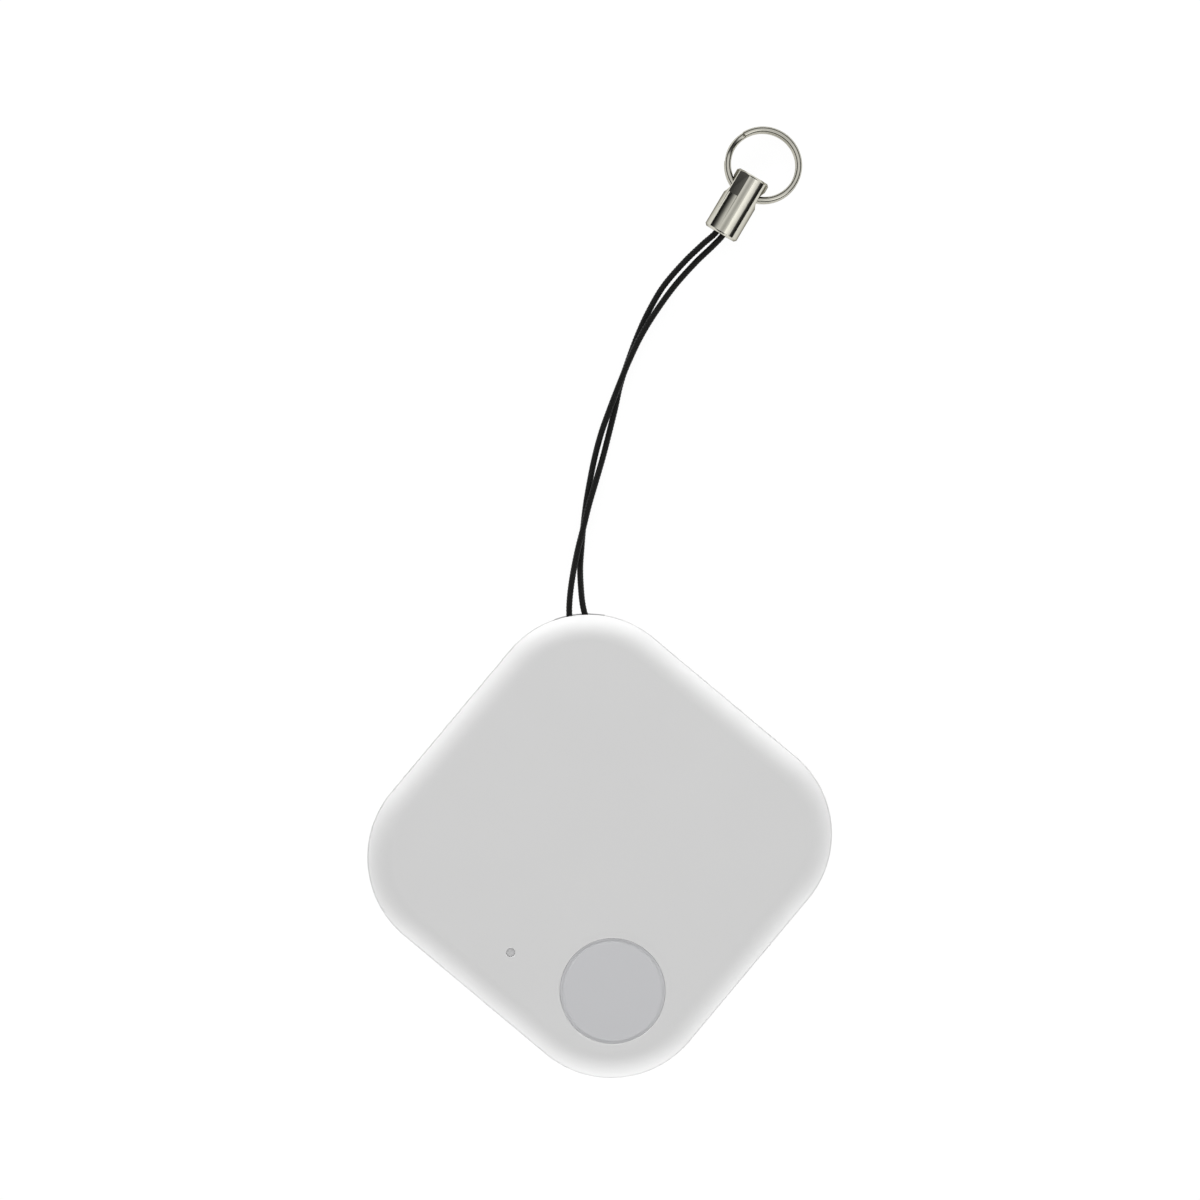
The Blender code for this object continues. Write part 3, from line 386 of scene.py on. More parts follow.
def inside_barrel(side):
    """The points of one strand in the crimp barrel, from its mouth inwards."""
    return [sleeve_frame @ Vector((side * STRAND_SIDE, depth, 0.0)) for depth in STRAND_DEPTHS]


round_post = []
for step in range(LOOP_STEPS + 1):
    angle = math.pi * (1 + step / LOOP_STEPS)
    round_post.append(Vector((POST_CENTRE[0] + LOOP_RADIUS * math.cos(angle),
                              POST_CENTRE[1] + LOOP_RADIUS * math.sin(angle), LOOP_LEVEL)))
down = [Vector(point) for point in LEFT_STRAND] + inside_barrel(-1)
up = [Vector(point) for point in RIGHT_STRAND] + inside_barrel(1)
cord_line = evenly(smooth_curve(down[::-1] + round_post + up, POINTS_PER_SPAN), CORD_STEP)
cord_loop = plaited_tube("cord_loop", cord_line)
fit(cord_loop, black_plait(), "strap", "strap_cord")


# Crimp barrel. A nickel-plated brass barrel, turned and bored, squeezed on the two cord ends.
# Its far end is cross-drilled for the split ring, with a flat pressed beside the hole.
SEED_SIZE = 0.001
WELD = 0.000002
SHARP_ANGLE = math.radians(30.0)
SHADE_ANGLE = math.radians(40.0)


def alone(item):
    """Leaves one object selected and active, in object mode."""
    clear_bench()
    item.select_set(True)
    bpy.context.view_layer.objects.active = item


def pick(item, kind, wanted):
    """Enters edit mode with only the edges or faces selected that pass a test."""
    alone(item)
    bpy.ops.object.mode_set(mode="EDIT")
    bpy.ops.mesh.select_mode(type=kind)
    bpy.ops.mesh.select_all(action="DESELECT")
    bm = bmesh.from_edit_mesh(item.data)
    for element in bm.edges if kind == "EDGE" else bm.faces:
        if wanted(element):
            element.select_set(True)
    bm.select_flush_mode()
    bmesh.update_edit_mesh(item.data)


def turned(name, profile, steps):
    """A profile of (radius, height) points, drawn by extruding a point, spun about Z."""
    clear_bench()
    bpy.ops.mesh.primitive_plane_add(size=SEED_SIZE)
    item = bpy.context.object
    item.name = item.data.name = name
    bpy.ops.object.mode_set(mode="EDIT")
    bpy.ops.mesh.select_mode(type="VERT")
    bpy.ops.mesh.select_all(action="SELECT")
    bpy.ops.mesh.merge(type="CENTER")
    bpy.ops.transform.translate(value=(profile[0][0], 0.0, profile[0][1]))
    for (radius, height), (wider, higher) in zip(profile, profile[1:]):
        bpy.ops.mesh.extrude_vertices_move(
            TRANSFORM_OT_translate={"value": (wider - radius, 0.0, higher - height)})
    bpy.ops.mesh.select_all(action="SELECT")
    bpy.ops.mesh.spin(steps=steps, angle=2 * math.pi, center=(0.0, 0.0, 0.0),
                      axis=(0.0, 0.0, 1.0))
    bpy.ops.mesh.select_all(action="SELECT")
    bpy.ops.mesh.remove_doubles(threshold=WELD)
    bpy.ops.mesh.normals_make_consistent(inside=False)
    bpy.ops.object.mode_set(mode="OBJECT")
    return item


def combine(item, operation, other):
    """Cuts with, or joins, another shape, which is used up."""
    alone(item)
    modifier = item.modifiers.new(operation, "BOOLEAN")
    modifier.operation = operation
    modifier.solver = "EXACT"
    modifier.object = other
    bpy.ops.object.modifier_apply(modifier=modifier.name)
    bpy.data.objects.remove(other, do_unlink=True)


def soften(item, width, segments=3):
    """Rounds the sharp edges, and shades flat faces flat and round faces round."""
    alone(item)
    bevel = item.modifiers.new("edges", "BEVEL")
    bevel.width = width
    bevel.segments = segments
    bevel.limit_method = "ANGLE"
    bevel.angle_limit = SHARP_ANGLE
    bpy.ops.object.modifier_apply(modifier=bevel.name)
    bpy.ops.object.shade_smooth_by_angle(angle=SHADE_ANGLE)
    weighted = item.modifiers.new("faces", "WEIGHTED_NORMAL")
    weighted.keep_sharp = True
    bpy.ops.object.modifier_apply(modifier=weighted.name)


def put(item, place):
    """Moves a shape to its place in the assembly, which is then in its mesh."""
    alone(item)
    item.matrix_world = place
    bpy.ops.object.transform_apply(location=True, rotation=True, scale=True)


BARREL_RADIUS = 0.00185
BARREL_LENGTH = 0.00684
BARREL_CHAMFER = 0.00022
BORE_RADIUS = 0.00085
BORE_DEPTH = 0.0032
RING_HOLE_FROM_MOUTH = 0.00494
RING_HOLE_RADIUS = 0.0010
FLAT_BEARING = math.radians(238.0)
FLAT_DEPTH = 0.00011
FLAT_FROM_MOUTH = 0.0042
BARREL_EDGE = 0.00006
CUTTER_SIZE = 4 * BARREL_RADIUS
ROUND_STEPS = 96
ROD_SIDES = 48
NICKEL_CLOUDS = 700.0


def bright_nickel(name, drawn_scale, roughness):
    """Bright nickel plate, with draw lines along the barrel or a fine even grain."""
    material, sheet, sockets = finish_of(name, {
        "Metallic": 1.0, "Specular Tint": (0.25, 0.24, 0.22, 1.0)})
    along_barrel = sheet.node("ShaderNodeMapping", {}, {
        "Vector": sheet.place(), "Rotation": (0.0, 0.0, math.pi / 2 - SLEEVE_HEADING),
        "Scale": drawn_scale})
    drawn = sheet.grain(along_barrel, 1.0, detail=4.0)
    cloud = sheet.grain(sheet.place(), NICKEL_CLOUDS)
    sheet.join(sheet.tint(cloud, (0.58, 0.565, 0.49), (0.69, 0.675, 0.60)),
               sockets["Base Color"])
    sheet.join(drawn * 0.07 + cloud * 0.03 + roughness, sockets["Roughness"])
    sheet.join(sheet.relief(drawn * 0.4 + cloud * 3.0, strength=0.5, distance=0.000006),
               sockets["Normal"])
    return material


crimp_barrel = turned("crimp_barrel", [
    (0.0, BARREL_LENGTH), (BARREL_RADIUS - BARREL_CHAMFER, BARREL_LENGTH),
    (BARREL_RADIUS, BARREL_LENGTH - BARREL_CHAMFER), (BARREL_RADIUS, BARREL_CHAMFER),
    (BARREL_RADIUS - BARREL_CHAMFER, 0.0), (BORE_RADIUS, 0.0), (BORE_RADIUS, BORE_DEPTH),
    (0.0, BORE_DEPTH)], ROUND_STEPS)
clear_bench()
bpy.ops.mesh.primitive_cylinder_add(vertices=ROD_SIDES, radius=RING_HOLE_RADIUS,
                                    depth=CUTTER_SIZE,
                                    location=(0.0, 0.0, RING_HOLE_FROM_MOUTH),
                                    rotation=(0.0, math.pi / 2, 0.0))
combine(crimp_barrel, "DIFFERENCE", bpy.context.object)
clear_bench()
flat_side = Vector((math.cos(FLAT_BEARING), math.sin(FLAT_BEARING), 0.0))
bpy.ops.mesh.primitive_cube_add(
    size=CUTTER_SIZE, rotation=(0.0, 0.0, FLAT_BEARING),
    location=flat_side * (BARREL_RADIUS - FLAT_DEPTH + CUTTER_SIZE / 2)
    + Vector((0.0, 0.0, FLAT_FROM_MOUTH + CUTTER_SIZE / 2)))
combine(crimp_barrel, "DIFFERENCE", bpy.context.object)
soften(crimp_barrel, BARREL_EDGE)
put(crimp_barrel, sleeve_frame @ Matrix.Rotation(-math.pi / 2, 4, "X"))
fit(crimp_barrel,
    bright_nickel("barrel_nickel", drawn_scale=(9000.0, 700.0, 9000.0), roughness=0.05),
    "strap", "crimp_sleeve")


# Split ring. Two turns of hard nickel-plated wire, pressed together, that change level at one
# joggle. It passes through the barrel's cross hole and its far side rests on the table.
RING_RADIUS = 0.003675
RING_WIRE = 0.00065
RING_TURN_GAP = 0.00005
RING_SAG = 0.00025
RING_SHIFT = 0.00025
RING_JOGGLE_AT = math.radians(178.7)
RING_JOGGLE_HALF = math.radians(20.0)
RING_END_GAP = math.radians(25.0)
RING_STEP = math.radians(3.0)
WIRE_SIDES = 24
WIRE_END_EDGE = 0.00004

ring_from_hole = RING_RADIUS - RING_SAG
ring_rise = (RING_WIRE + RING_TURN_GAP) / 2
ring_tilt = math.asin((SLEEVE_MOUTH[2] - ring_rise - RING_WIRE / 2)
                      / (ring_from_hole + RING_RADIUS))


def ring_level(angle):
    """Height of the wire at that angle, which changes sides over the joggle."""
    share = (angle - RING_JOGGLE_AT) / RING_JOGGLE_HALF
    return ring_rise * math.sin(min(max(share, -1.0), 1.0) * math.pi / 2)


ring_start = RING_JOGGLE_AT - 2 * math.pi + RING_END_GAP
ring_count = round((4 * math.pi - 2 * RING_END_GAP) / RING_STEP)
clear_bench()
bpy.ops.mesh.primitive_circle_add(vertices=WIRE_SIDES, radius=RING_WIRE / 2, fill_type="NGON",
                                  location=(RING_RADIUS, 0.0, 0.0),
                                  rotation=(math.pi / 2, 0.0, 0.0))
key_ring = bpy.context.object
key_ring.name = key_ring.data.name = "key_ring"
bpy.ops.object.transform_apply(location=True, rotation=True, scale=True)
bpy.ops.object.mode_set(mode="EDIT")
bpy.ops.mesh.select_mode(type="FACE")
bpy.ops.mesh.select_all(action="SELECT")
bpy.ops.transform.rotate(value=-ring_start, orient_axis="Z", center_override=(0.0, 0.0, 0.0))
bpy.ops.transform.translate(value=(0.0, 0.0, ring_level(ring_start)))
for step in range(ring_count):
    rise = (ring_level(ring_start + (step + 1) * RING_STEP)
            - ring_level(ring_start + step * RING_STEP))
    bpy.ops.mesh.extrude_region_move(TRANSFORM_OT_translate={"value": (0.0, 0.0, rise)})
    bpy.ops.transform.rotate(value=-RING_STEP, orient_axis="Z",
                             center_override=(0.0, 0.0, 0.0))
bpy.ops.mesh.select_all(action="SELECT")
bpy.ops.mesh.normals_make_consistent(inside=False)
soften(key_ring, WIRE_END_EDGE)
put(key_ring, sleeve_frame @ Matrix.Translation((0.0, RING_HOLE_FROM_MOUTH, 0.0))
    @ Matrix.Rotation(-ring_tilt, 4, "X")
    @ Matrix.Translation((RING_SHIFT, ring_from_hole, 0.0)))
fit(key_ring,
    bright_nickel("ring_nickel", drawn_scale=(4000.0, 4000.0, 4000.0), roughness=0.10),
    "ring", "split_ring")


# Rear cover. A shell of white ABS, injection moulded in one with the cord's post, the two
# screw bosses and the lip that the front cover snaps on. A slot at its tip lets the cord out.
CASE_FLATS = 0.040
CASE_CORNER = 0.0105
CORNER_STEPS = 32
REAR_TOP = 0.00345
REAR_ROUND = 0.0018
REAR_ROUND_STEPS = 12
REAR_RIM_EDGE = 0.00012
REAR_RIM_STEPS = 3
REAR_FLOOR = 0.0012
WALL = 0.0014
LIP_FROM_OUTSIDE = 0.00085
LIP_TOP = 0.00435
POST_RADIUS = 0.0009
POST_TOP = 0.0055
BOSS_AT = 0.016235
BOSS_RADIUS = 0.0016
BOSS_TOP = 0.00255
BOSS_HOLE_RADIUS = 0.0007
BOSS_HOLE_FLOOR = 0.0011
SLOT_WIDTH = 0.0052
SLOT_FROM = 0.021958
SLOT_FLOOR = 0.00245
SLOT_CEILING = 0.00395
OVERCUT = 0.002
LEVEL_SLACK = 0.00001
SQUARE_ON = 0.99
SHELL_EDGE = 0.00005
MOULD_GRAIN = 9000.0
FLOW_CLOUDS = 120.0
FLOW_AND_PORE_DARKENING = 0.965
PORES = 2600.0


def rounded_square(name, flats, corner, low, high):
    """A block whose outline is a square on one corner with rounded corners."""
    clear_bench()
    bpy.ops.mesh.primitive_cube_add(size=1.0, location=(0.0, 0.0, (low + high) / 2),
                                    rotation=(0.0, 0.0, math.pi / 4),
                                    scale=(flats, flats, high - low))
    item = bpy.context.object
    item.name = item.data.name = name
    bpy.ops.object.transform_apply(location=True, rotation=True, scale=True)
    pick(item, "EDGE", lambda e: abs(e.verts[0].co.z - e.verts[1].co.z) > (high - low) / 2)
    bpy.ops.mesh.bevel(offset=corner, segments=CORNER_STEPS, affect="EDGES")
    return item


def round_rim(item, level, size, steps):
    """Rounds the outline where a block ends at that level."""
    pick(item, "EDGE", lambda e: all(abs(v.co.z - level) < LEVEL_SLACK for v in e.verts))
    bpy.ops.mesh.bevel(offset=size, segments=steps, affect="EDGES")


def flat_at(level, up):
    """A test for the big flat face at that level that looks up (1) or down (-1)."""
    return lambda f: f.normal.z * up > SQUARE_ON and all(
        abs(v.co.z - level) < LEVEL_SLACK for v in f.verts)


def push(rise):
    """Extrudes the selected faces straight up, or down."""
    bpy.ops.mesh.extrude_region_move(TRANSFORM_OT_translate={"value": (0.0, 0.0, rise)})


def rod(radius, low, high, centre):
    """A round rod standing on end, for joining or cutting."""
    clear_bench()
    bpy.ops.mesh.primitive_cylinder_add(vertices=ROD_SIDES, radius=radius, depth=high - low,
                                        location=(*centre, (low + high) / 2))
    bpy.ops.object.transform_apply(location=True, rotation=True, scale=True)
    return bpy.context.object


def cord_slot(low, high):
    """A block the width of the cord slot, beyond the place where the slot begins."""
    depth = CASE_FLATS / 2
    clear_bench()
    bpy.ops.mesh.primitive_cube_add(
        size=1.0, location=(0.0, SLOT_FROM + depth / 2, (low + high) / 2),
        scale=(SLOT_WIDTH, depth, high - low))
    bpy.ops.object.transform_apply(location=True, rotation=True, scale=True)
    return bpy.context.object


def moulded_white(name, shade, roughness, relief):
    """White ABS from a spark-eroded mould: fine even grain, faint flow clouds, tiny pores."""
    material, sheet, sockets = finish_of(name, {"Specular IOR Level": 0.45})
    place = sheet.place()
    grain = sheet.grain(place, MOULD_GRAIN, detail=3.0)
    cloud = sheet.grain(place, FLOW_CLOUDS)
    pores = sheet.node("ShaderNodeTexVoronoi", {}, {"Vector": place, "Scale": PORES},
                       output="Distance").below(0.12, softness=0.06)
    darker = tuple(value * FLOW_AND_PORE_DARKENING for value in shade)
    # Flow clouds vary the white at random; the pores are painted darker, as painted shade in the
    # tiny pits.
    sheet.join(sheet.tint(cloud * 0.7 + pores * 0.3, shade, darker), sockets["Base Color"])
    sheet.join(grain * 0.10 + cloud * 0.06 + roughness, sockets["Roughness"])
    sheet.join(sheet.relief(grain - pores * 0.4, strength=relief, distance=0.00002),
               sockets["Normal"])
    return material


rear_shell = rounded_square("rear_shell", CASE_FLATS, CASE_CORNER, 0.0, REAR_TOP)
round_rim(rear_shell, 0.0, REAR_ROUND, REAR_ROUND_STEPS)
round_rim(rear_shell, REAR_TOP, REAR_RIM_EDGE, REAR_RIM_STEPS)
pick(rear_shell, "FACE", flat_at(REAR_TOP, 1))
bpy.ops.mesh.inset(thickness=LIP_FROM_OUTSIDE - REAR_RIM_EDGE)
push(LIP_TOP - REAR_TOP)
bpy.ops.mesh.inset(thickness=WALL - LIP_FROM_OUTSIDE)
push(REAR_FLOOR - LIP_TOP)
combine(rear_shell, "UNION", rod(POST_RADIUS, REAR_FLOOR / 2, POST_TOP, POST_CENTRE))
for side in (-1, 1):
    spot = (side * BOSS_AT, 0.0)
    combine(rear_shell, "UNION", rod(BOSS_RADIUS, REAR_FLOOR / 2, BOSS_TOP, spot))
    combine(rear_shell, "DIFFERENCE",
            rod(BOSS_HOLE_RADIUS, BOSS_HOLE_FLOOR, BOSS_TOP + OVERCUT, spot))
combine(rear_shell, "DIFFERENCE", cord_slot(SLOT_FLOOR, LIP_TOP + OVERCUT))
soften(rear_shell, SHELL_EDGE)
cover_white = moulded_white("cover_white", (0.83, 0.83, 0.828), roughness=0.38, relief=0.35)
fit(rear_shell, cover_white, "case", "rear_cover")


# Circuit board. Green FR4 board, copper tracks under the solder mask, tinned vias and pads,
# cut out round the coin cell. Two screws hold it on the rear cover's bosses.
TRACK_PITCH = 0.0011
TRACK_SHARE = 0.13
DIAGONAL_PITCH = 1.7 * TRACK_PITCH
COPPER_AREAS = 220.0
VIA_SPACING = 0.0023
GLASS_FIBRES = 5000.0
BOARD_GRAIN = 3000.0
PLATE_CLOUDS = 400.0
ROLLED_LINES = (6000.0, 500.0, 6000.0)
CAD_WELD = 0.000001
CAD_FLAT_ANGLE = math.radians(1.0)


def refined(node, name, edge):
    """A CAD part's own mesh, merged, with its sharp edges lightly rounded, as a new piece."""
    item = bpy.data.objects.new(name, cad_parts[node].data.copy())
    item.data.name = name
    item.data.materials.clear()
    bpy.context.scene.collection.objects.link(item)
    alone(item)
    bpy.ops.mesh.customdata_custom_splitnormals_clear()
    bpy.ops.object.mode_set(mode="EDIT")
    bpy.ops.mesh.select_all(action="SELECT")
    bpy.ops.mesh.remove_doubles(threshold=CAD_WELD)
    bpy.ops.mesh.dissolve_limited(angle_limit=CAD_FLAT_ANGLE)
    clear_bench()
    soften(item, edge, segments=2)
    return item


def solder_mask():
    """Green mask over tracks that run square and at 45 degrees, with tinned vias."""
    material, sheet, sockets = finish_of("solder_mask", {"IOR": 1.5, "Coat Weight": 0.3,
                                                         "Coat Roughness": 0.15})
    place = sheet.place()
    tracks = []
    for turn, pitch in ((0.0, TRACK_PITCH), (math.pi / 4, DIAGONAL_PITCH)):
        along = sheet.node("ShaderNodeMapping", {}, {"Vector": place,
                                                     "Rotation": (0.0, 0.0, turn)})
        bricks = sheet.node("ShaderNodeTexBrick", {"offset": 0.35, "squash": 1.4}, {
            "Vector": along, "Scale": 1.0 / pitch, "Mortar Size": TRACK_SHARE / 2,
            "Mortar Smooth": 0.2, "Brick Width": 3.2, "Row Height": 0.55}, output="Fac")
        area = sheet.grain(along, COPPER_AREAS, detail=0.0).below(0.5, softness=0.02)
        tracks.append(bricks * (area if turn else 1.0 - area))
    copper = tracks[0] + tracks[1]
    spot = sheet.node("ShaderNodeTexVoronoi", {"voronoi_dimensions": "2D"}, {
        "Vector": place, "Scale": 1.0 / VIA_SPACING, "Randomness": 0.8}, output="Distance")
    tinned = spot.below(0.11, softness=0.015)
    hole = spot.below(0.045, softness=0.01)
    facing = sheet.part(sheet.node("ShaderNodeNewGeometry", output="Normal"), "Z").size()
    cut_side = facing.below(0.6, softness=0.1)
    mask = sheet.tint(copper, (0.006, 0.075, 0.030), (0.016, 0.150, 0.060))
    fibre = sheet.tint(sheet.grain(place, GLASS_FIBRES), (0.30, 0.26, 0.13), (0.42, 0.38, 0.22))
    top = sheet.tint(tinned, mask, (0.62, 0.60, 0.56))
    # Painted shade: each via's hole is painted near black for the dark inside of the hole.
    top = sheet.tint(hole, top, (0.01, 0.01, 0.01))
    sheet.join(sheet.tint(cut_side, top, fibre), sockets["Base Color"])
    sheet.join(tinned * (1.0 - cut_side) * (1.0 - hole), sockets["Metallic"])
    sheet.join(cut_side * 0.4 + sheet.grain(place, BOARD_GRAIN) * 0.15 + 0.24,
               sockets["Roughness"])
    sheet.join(sheet.relief(copper * 0.6 + tinned - hole, strength=0.6, distance=0.00003),
               sockets["Normal"])
    return material


def plated(name, dark, light, roughness):
    """Plated or rolled sheet metal, with fine lines along the way that it was rolled."""
    material, sheet, sockets = finish_of(name, {"Metallic": 1.0})
    rolled = sheet.node("ShaderNodeMapping", {}, {"Vector": sheet.place(),
                                                  "Scale": ROLLED_LINES})
    streaks = sheet.grain(rolled, 1.0, detail=4.0)
    cloud = sheet.grain(sheet.place(), PLATE_CLOUDS)
    sheet.join(sheet.tint(streaks * 0.5 + cloud * 0.5, dark, light), sockets["Base Color"])
    sheet.join(streaks * 0.15 + cloud * 0.08 + roughness, sockets["Roughness"])
    sheet.join(sheet.relief(streaks, strength=0.3, distance=0.000006), sockets["Normal"])
    return material


board = refined("circuit_board", "board", edge=0.00003)
fit(board, solder_mask(), "case", "circuit_board")
tin = plated("dull_tin", (0.48, 0.48, 0.46), (0.68, 0.68, 0.66), roughness=0.28)
for side in ("left", "right"):
    screw = refined("board_screw_" + side, "pan_head_screw_" + side, edge=0.00004)
    fit(screw, tin, "case", "board_screw_" + side)


# Parts soldered on the board. A moulded radio chip, a sealed crystal, a ceramic antenna, the
# status light, a wound boost coil, and small capacitors and resistors with tinned ends.
BOARD_TOP = 0.0034
SOLDER_HEIGHT = 0.00012
SOLDER_REACH = 0.00028
SOLDER_TAPER = 0.8 * SOLDER_HEIGHT
SOLDER_RISE = 0.9 * SOLDER_HEIGHT
SOLDER_EDGE = 0.00003
CHIP_PAD_PITCH = 0.0005
CHIP_PAD_HEIGHT = 0.0002
PIN_MARK_IN = 0.0005
PIN_MARK_RADIUS = 0.00022
LENS_RADIUS = 0.00038
WIRE_PITCH = 0.00011
EPOXY_GRAIN = 16000.0
CERAMIC_GRAIN = 14000.0
FERRITE_GRAIN = 12000.0
LIGHT_BODY_GRAIN = 9000.0


def solder_joint(name, node, along):
    """Two shaped solder joints, one at each end of a part, where it meets the board."""
    low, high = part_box(node)
    joints = []
    for end in (low[along], high[along]):
        centre = (low + high) / 2
        centre[along] = end
        centre.z = BOARD_TOP + SOLDER_HEIGHT / 2
        size = high - low
        size[along] = 2 * SOLDER_REACH
        size.z = SOLDER_HEIGHT
        clear_bench()
        bpy.ops.mesh.primitive_cube_add(size=1.0, location=centre, scale=size)
        joint = bpy.context.object
        bpy.ops.object.transform_apply(location=True, rotation=True, scale=True)
        pick(joint, "FACE", lambda f: f.normal.z > SQUARE_ON)
        bpy.ops.mesh.inset(thickness=SOLDER_TAPER, depth=SOLDER_RISE)
        joints.append(joint)
    alone(joints[0])
    joints[1].select_set(True)
    bpy.ops.object.join()
    item = joints[0]
    item.name = item.data.name = name
    soften(item, SOLDER_EDGE, segments=2)
    item.data.materials.append(tin)
    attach(item, "case")


def from_point(sheet, place, point):
    """Distance from a point."""
    return sheet.node("ShaderNodeVectorMath", {"operation": "DISTANCE"},
                      {0: place, 1: point}, output="Value")


def moulded_epoxy(node):
    """Black epoxy with matt grain, a round pin mark, and tinned pads along its foot."""
    low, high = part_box(node)
    material, sheet, sockets = finish_of(node + "_epoxy")
    place = sheet.place()
    across, deep, up = (sheet.part(place, axis) for axis in "XYZ")
    grain = sheet.grain(place, EPOXY_GRAIN, detail=3.0)
    mark = (low.x + PIN_MARK_IN, high.y - PIN_MARK_IN, high.z)
    dot = from_point(sheet, place, mark).below(PIN_MARK_RADIUS, softness=0.00002)
    rows = [(value * (2 * math.pi / CHIP_PAD_PITCH)).sine().below(0.0, softness=0.15)
            for value in (across, deep)]
    pads = rows[0] * rows[1] * up.below(low.z + CHIP_PAD_HEIGHT, softness=0.00001)
    body = sheet.tint(grain, (0.008, 0.008, 0.009), (0.022, 0.022, 0.024))
    body = sheet.tint(dot, body, (0.055, 0.055, 0.058))
    sheet.join(sheet.tint(pads, body, (0.62, 0.60, 0.56)), sockets["Base Color"])
    sheet.join(pads, sockets["Metallic"])
    sheet.join(grain * 0.2 + 0.5 - dot * 0.25, sockets["Roughness"])
    sheet.join(sheet.relief(grain - dot * 2.0, strength=0.5, distance=0.00001), sockets["Normal"])
    return material


def tipped(node, along, dark, light, tip_share):
    """A fired ceramic or resistor body with tinned ends."""
    low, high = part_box(node)
    material, sheet, sockets = finish_of(node + "_body")
    place = sheet.place()
    run = sheet.part(place, "XYZ"[along]) - (low[along] + high[along]) / 2
    tip = 1.0 - run.size().below((high[along] - low[along]) * (0.5 - tip_share), softness=0.00002)
    grain = sheet.grain(place, CERAMIC_GRAIN, detail=3.0)
    sheet.join(sheet.tint(tip, sheet.tint(grain, dark, light), (0.60, 0.59, 0.56)),
               sockets["Base Color"])
    sheet.join(tip, sockets["Metallic"])
    sheet.join(grain * 0.25 + 0.28, sockets["Roughness"])
    sheet.join(sheet.relief(grain + tip * 0.8, strength=0.4, distance=0.00001), sockets["Normal"])
    return material


def wound_ferrite(node):
    """A ferrite drum: dark sintered flanges, and enamelled copper wire between them."""
    low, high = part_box(node)
    material, sheet, sockets = finish_of("wound_ferrite")
    place = sheet.place()
    up = sheet.part(place, "Z")
    middle = (up - (low.z + high.z) / 2).size().below((high.z - low.z) * 0.27, softness=0.00001)
    side = sheet.part(sheet.node("ShaderNodeNewGeometry", output="Normal"), "Z").size()
    wire = middle * side.below(0.5, softness=0.1)
    turns = (up * (2 * math.pi / WIRE_PITCH)).sine()
    grain = sheet.grain(place, FERRITE_GRAIN, detail=3.0)
    sintered = sheet.tint(grain, (0.012, 0.012, 0.012), (0.045, 0.044, 0.042))
    # Painted highlight and painted shade: the copper is lighter on each turn's crest and darker
    # between the turns.
    copper = sheet.tint(turns * 0.5 + 0.5, (0.16, 0.045, 0.015), (0.62, 0.24, 0.09))
    sheet.join(sheet.tint(wire, sintered, copper), sockets["Base Color"])
    sheet.join(wire * 0.9, sockets["Metallic"])
    sheet.join(grain * 0.2 + 0.55 - wire * 0.3, sockets["Roughness"])
    sheet.join(sheet.relief(grain * 0.3 + turns * wire, strength=0.6, distance=0.00002),
               sockets["Normal"])
    return material


def light_lens(node):
    """A white light body with a round clear resin lens over the phosphor."""
    low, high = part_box(node)
    material, sheet, sockets = finish_of("light_lens", {"Coat Weight": 0.6,
                                                        "Coat Roughness": 0.05})
    place = sheet.place()
    middle = ((low.x + high.x) / 2, (low.y + high.y) / 2, high.z)
    lens = from_point(sheet, place, middle).below(LENS_RADIUS, softness=0.00002)
    grain = sheet.grain(place, LIGHT_BODY_GRAIN)
    body = sheet.tint(grain, (0.66, 0.66, 0.63), (0.80, 0.80, 0.77))
    sheet.join(sheet.tint(lens, body, (0.78, 0.66, 0.22)), sockets["Base Color"])
    sheet.join(grain * 0.1 + 0.35 - lens * 0.2, sockets["Roughness"])
    sheet.join(sheet.relief(grain * 0.3 + lens, strength=0.5, distance=0.00002),
               sockets["Normal"])
    return material


ACROSS, DEEP = 0, 1
TAN = ((0.30, 0.19, 0.10), (0.44, 0.30, 0.17))
BLACK = ((0.010, 0.010, 0.011), (0.030, 0.030, 0.032))
fit(refined("bluetooth_chip", "radio_chip", edge=0.00004), moulded_epoxy("bluetooth_chip"),
    "case", "bluetooth_chip")
fit(refined("crystal", "crystal_can", edge=0.00015),
    plated("crystal_nickel", (0.50, 0.49, 0.46), (0.68, 0.66, 0.62), roughness=0.22),
    "case", "crystal")
fit(refined("chip_antenna", "ceramic_antenna", edge=0.00005),
    tipped("chip_antenna", DEEP, (0.62, 0.62, 0.60), (0.80, 0.80, 0.78), tip_share=0.10),
    "case", "chip_antenna")
fit(refined("status_led", "status_light", edge=0.00004), light_lens("status_led"),
    "case", "status_led")
fit(refined("inductor", "boost_coil", edge=0.00005), wound_ferrite("inductor"),
    "case", "inductor")
for number in (1, 2, 3):
    node = f"capacitor_{number}"
    fit(refined(node, f"chip_capacitor_{number}", edge=0.00005),
        tipped(node, DEEP, *TAN, tip_share=0.22), "case", node)
    solder_joint(f"capacitor_solder_{number}", node, DEEP)
for number in (1, 2):
    node = f"resistor_{number}"
    fit(refined(node, f"chip_resistor_{number}", edge=0.00003),
        tipped(node, ACROSS, *BLACK, tip_share=0.20), "case", node)
    solder_joint(f"resistor_solder_{number}", node, ACROSS)


# Tact switch. A black moulded base, a snap dome of spring steel, a plunger over it, and a
# steel frame that is clinched on the base and keeps the plunger in.
PLASTIC_GRAIN = 12000.0
PLASTIC_CLOUDS = 500.0
DISC_LINES = 0.00009
DISC_SCUFFS = 2500.0
DISC_CLOUDS = 300.0
BUTTON_CENTRE = (0.0, -0.014905)


def moulded(name, dark, light, roughness):
    """Fine-grained moulded plastic or rubber."""
    material, sheet, sockets = finish_of(name)
    place = sheet.place()
    grain = sheet.grain(place, PLASTIC_GRAIN, detail=3.0)
    cloud = sheet.grain(place, PLASTIC_CLOUDS)
    sheet.join(sheet.tint(grain * 0.5 + cloud * 0.5, dark, light), sockets["Base Color"])
    sheet.join(grain * 0.2 + roughness, sockets["Roughness"])
    sheet.join(sheet.relief(grain, strength=0.35, distance=0.00001), sockets["Normal"])
    return material


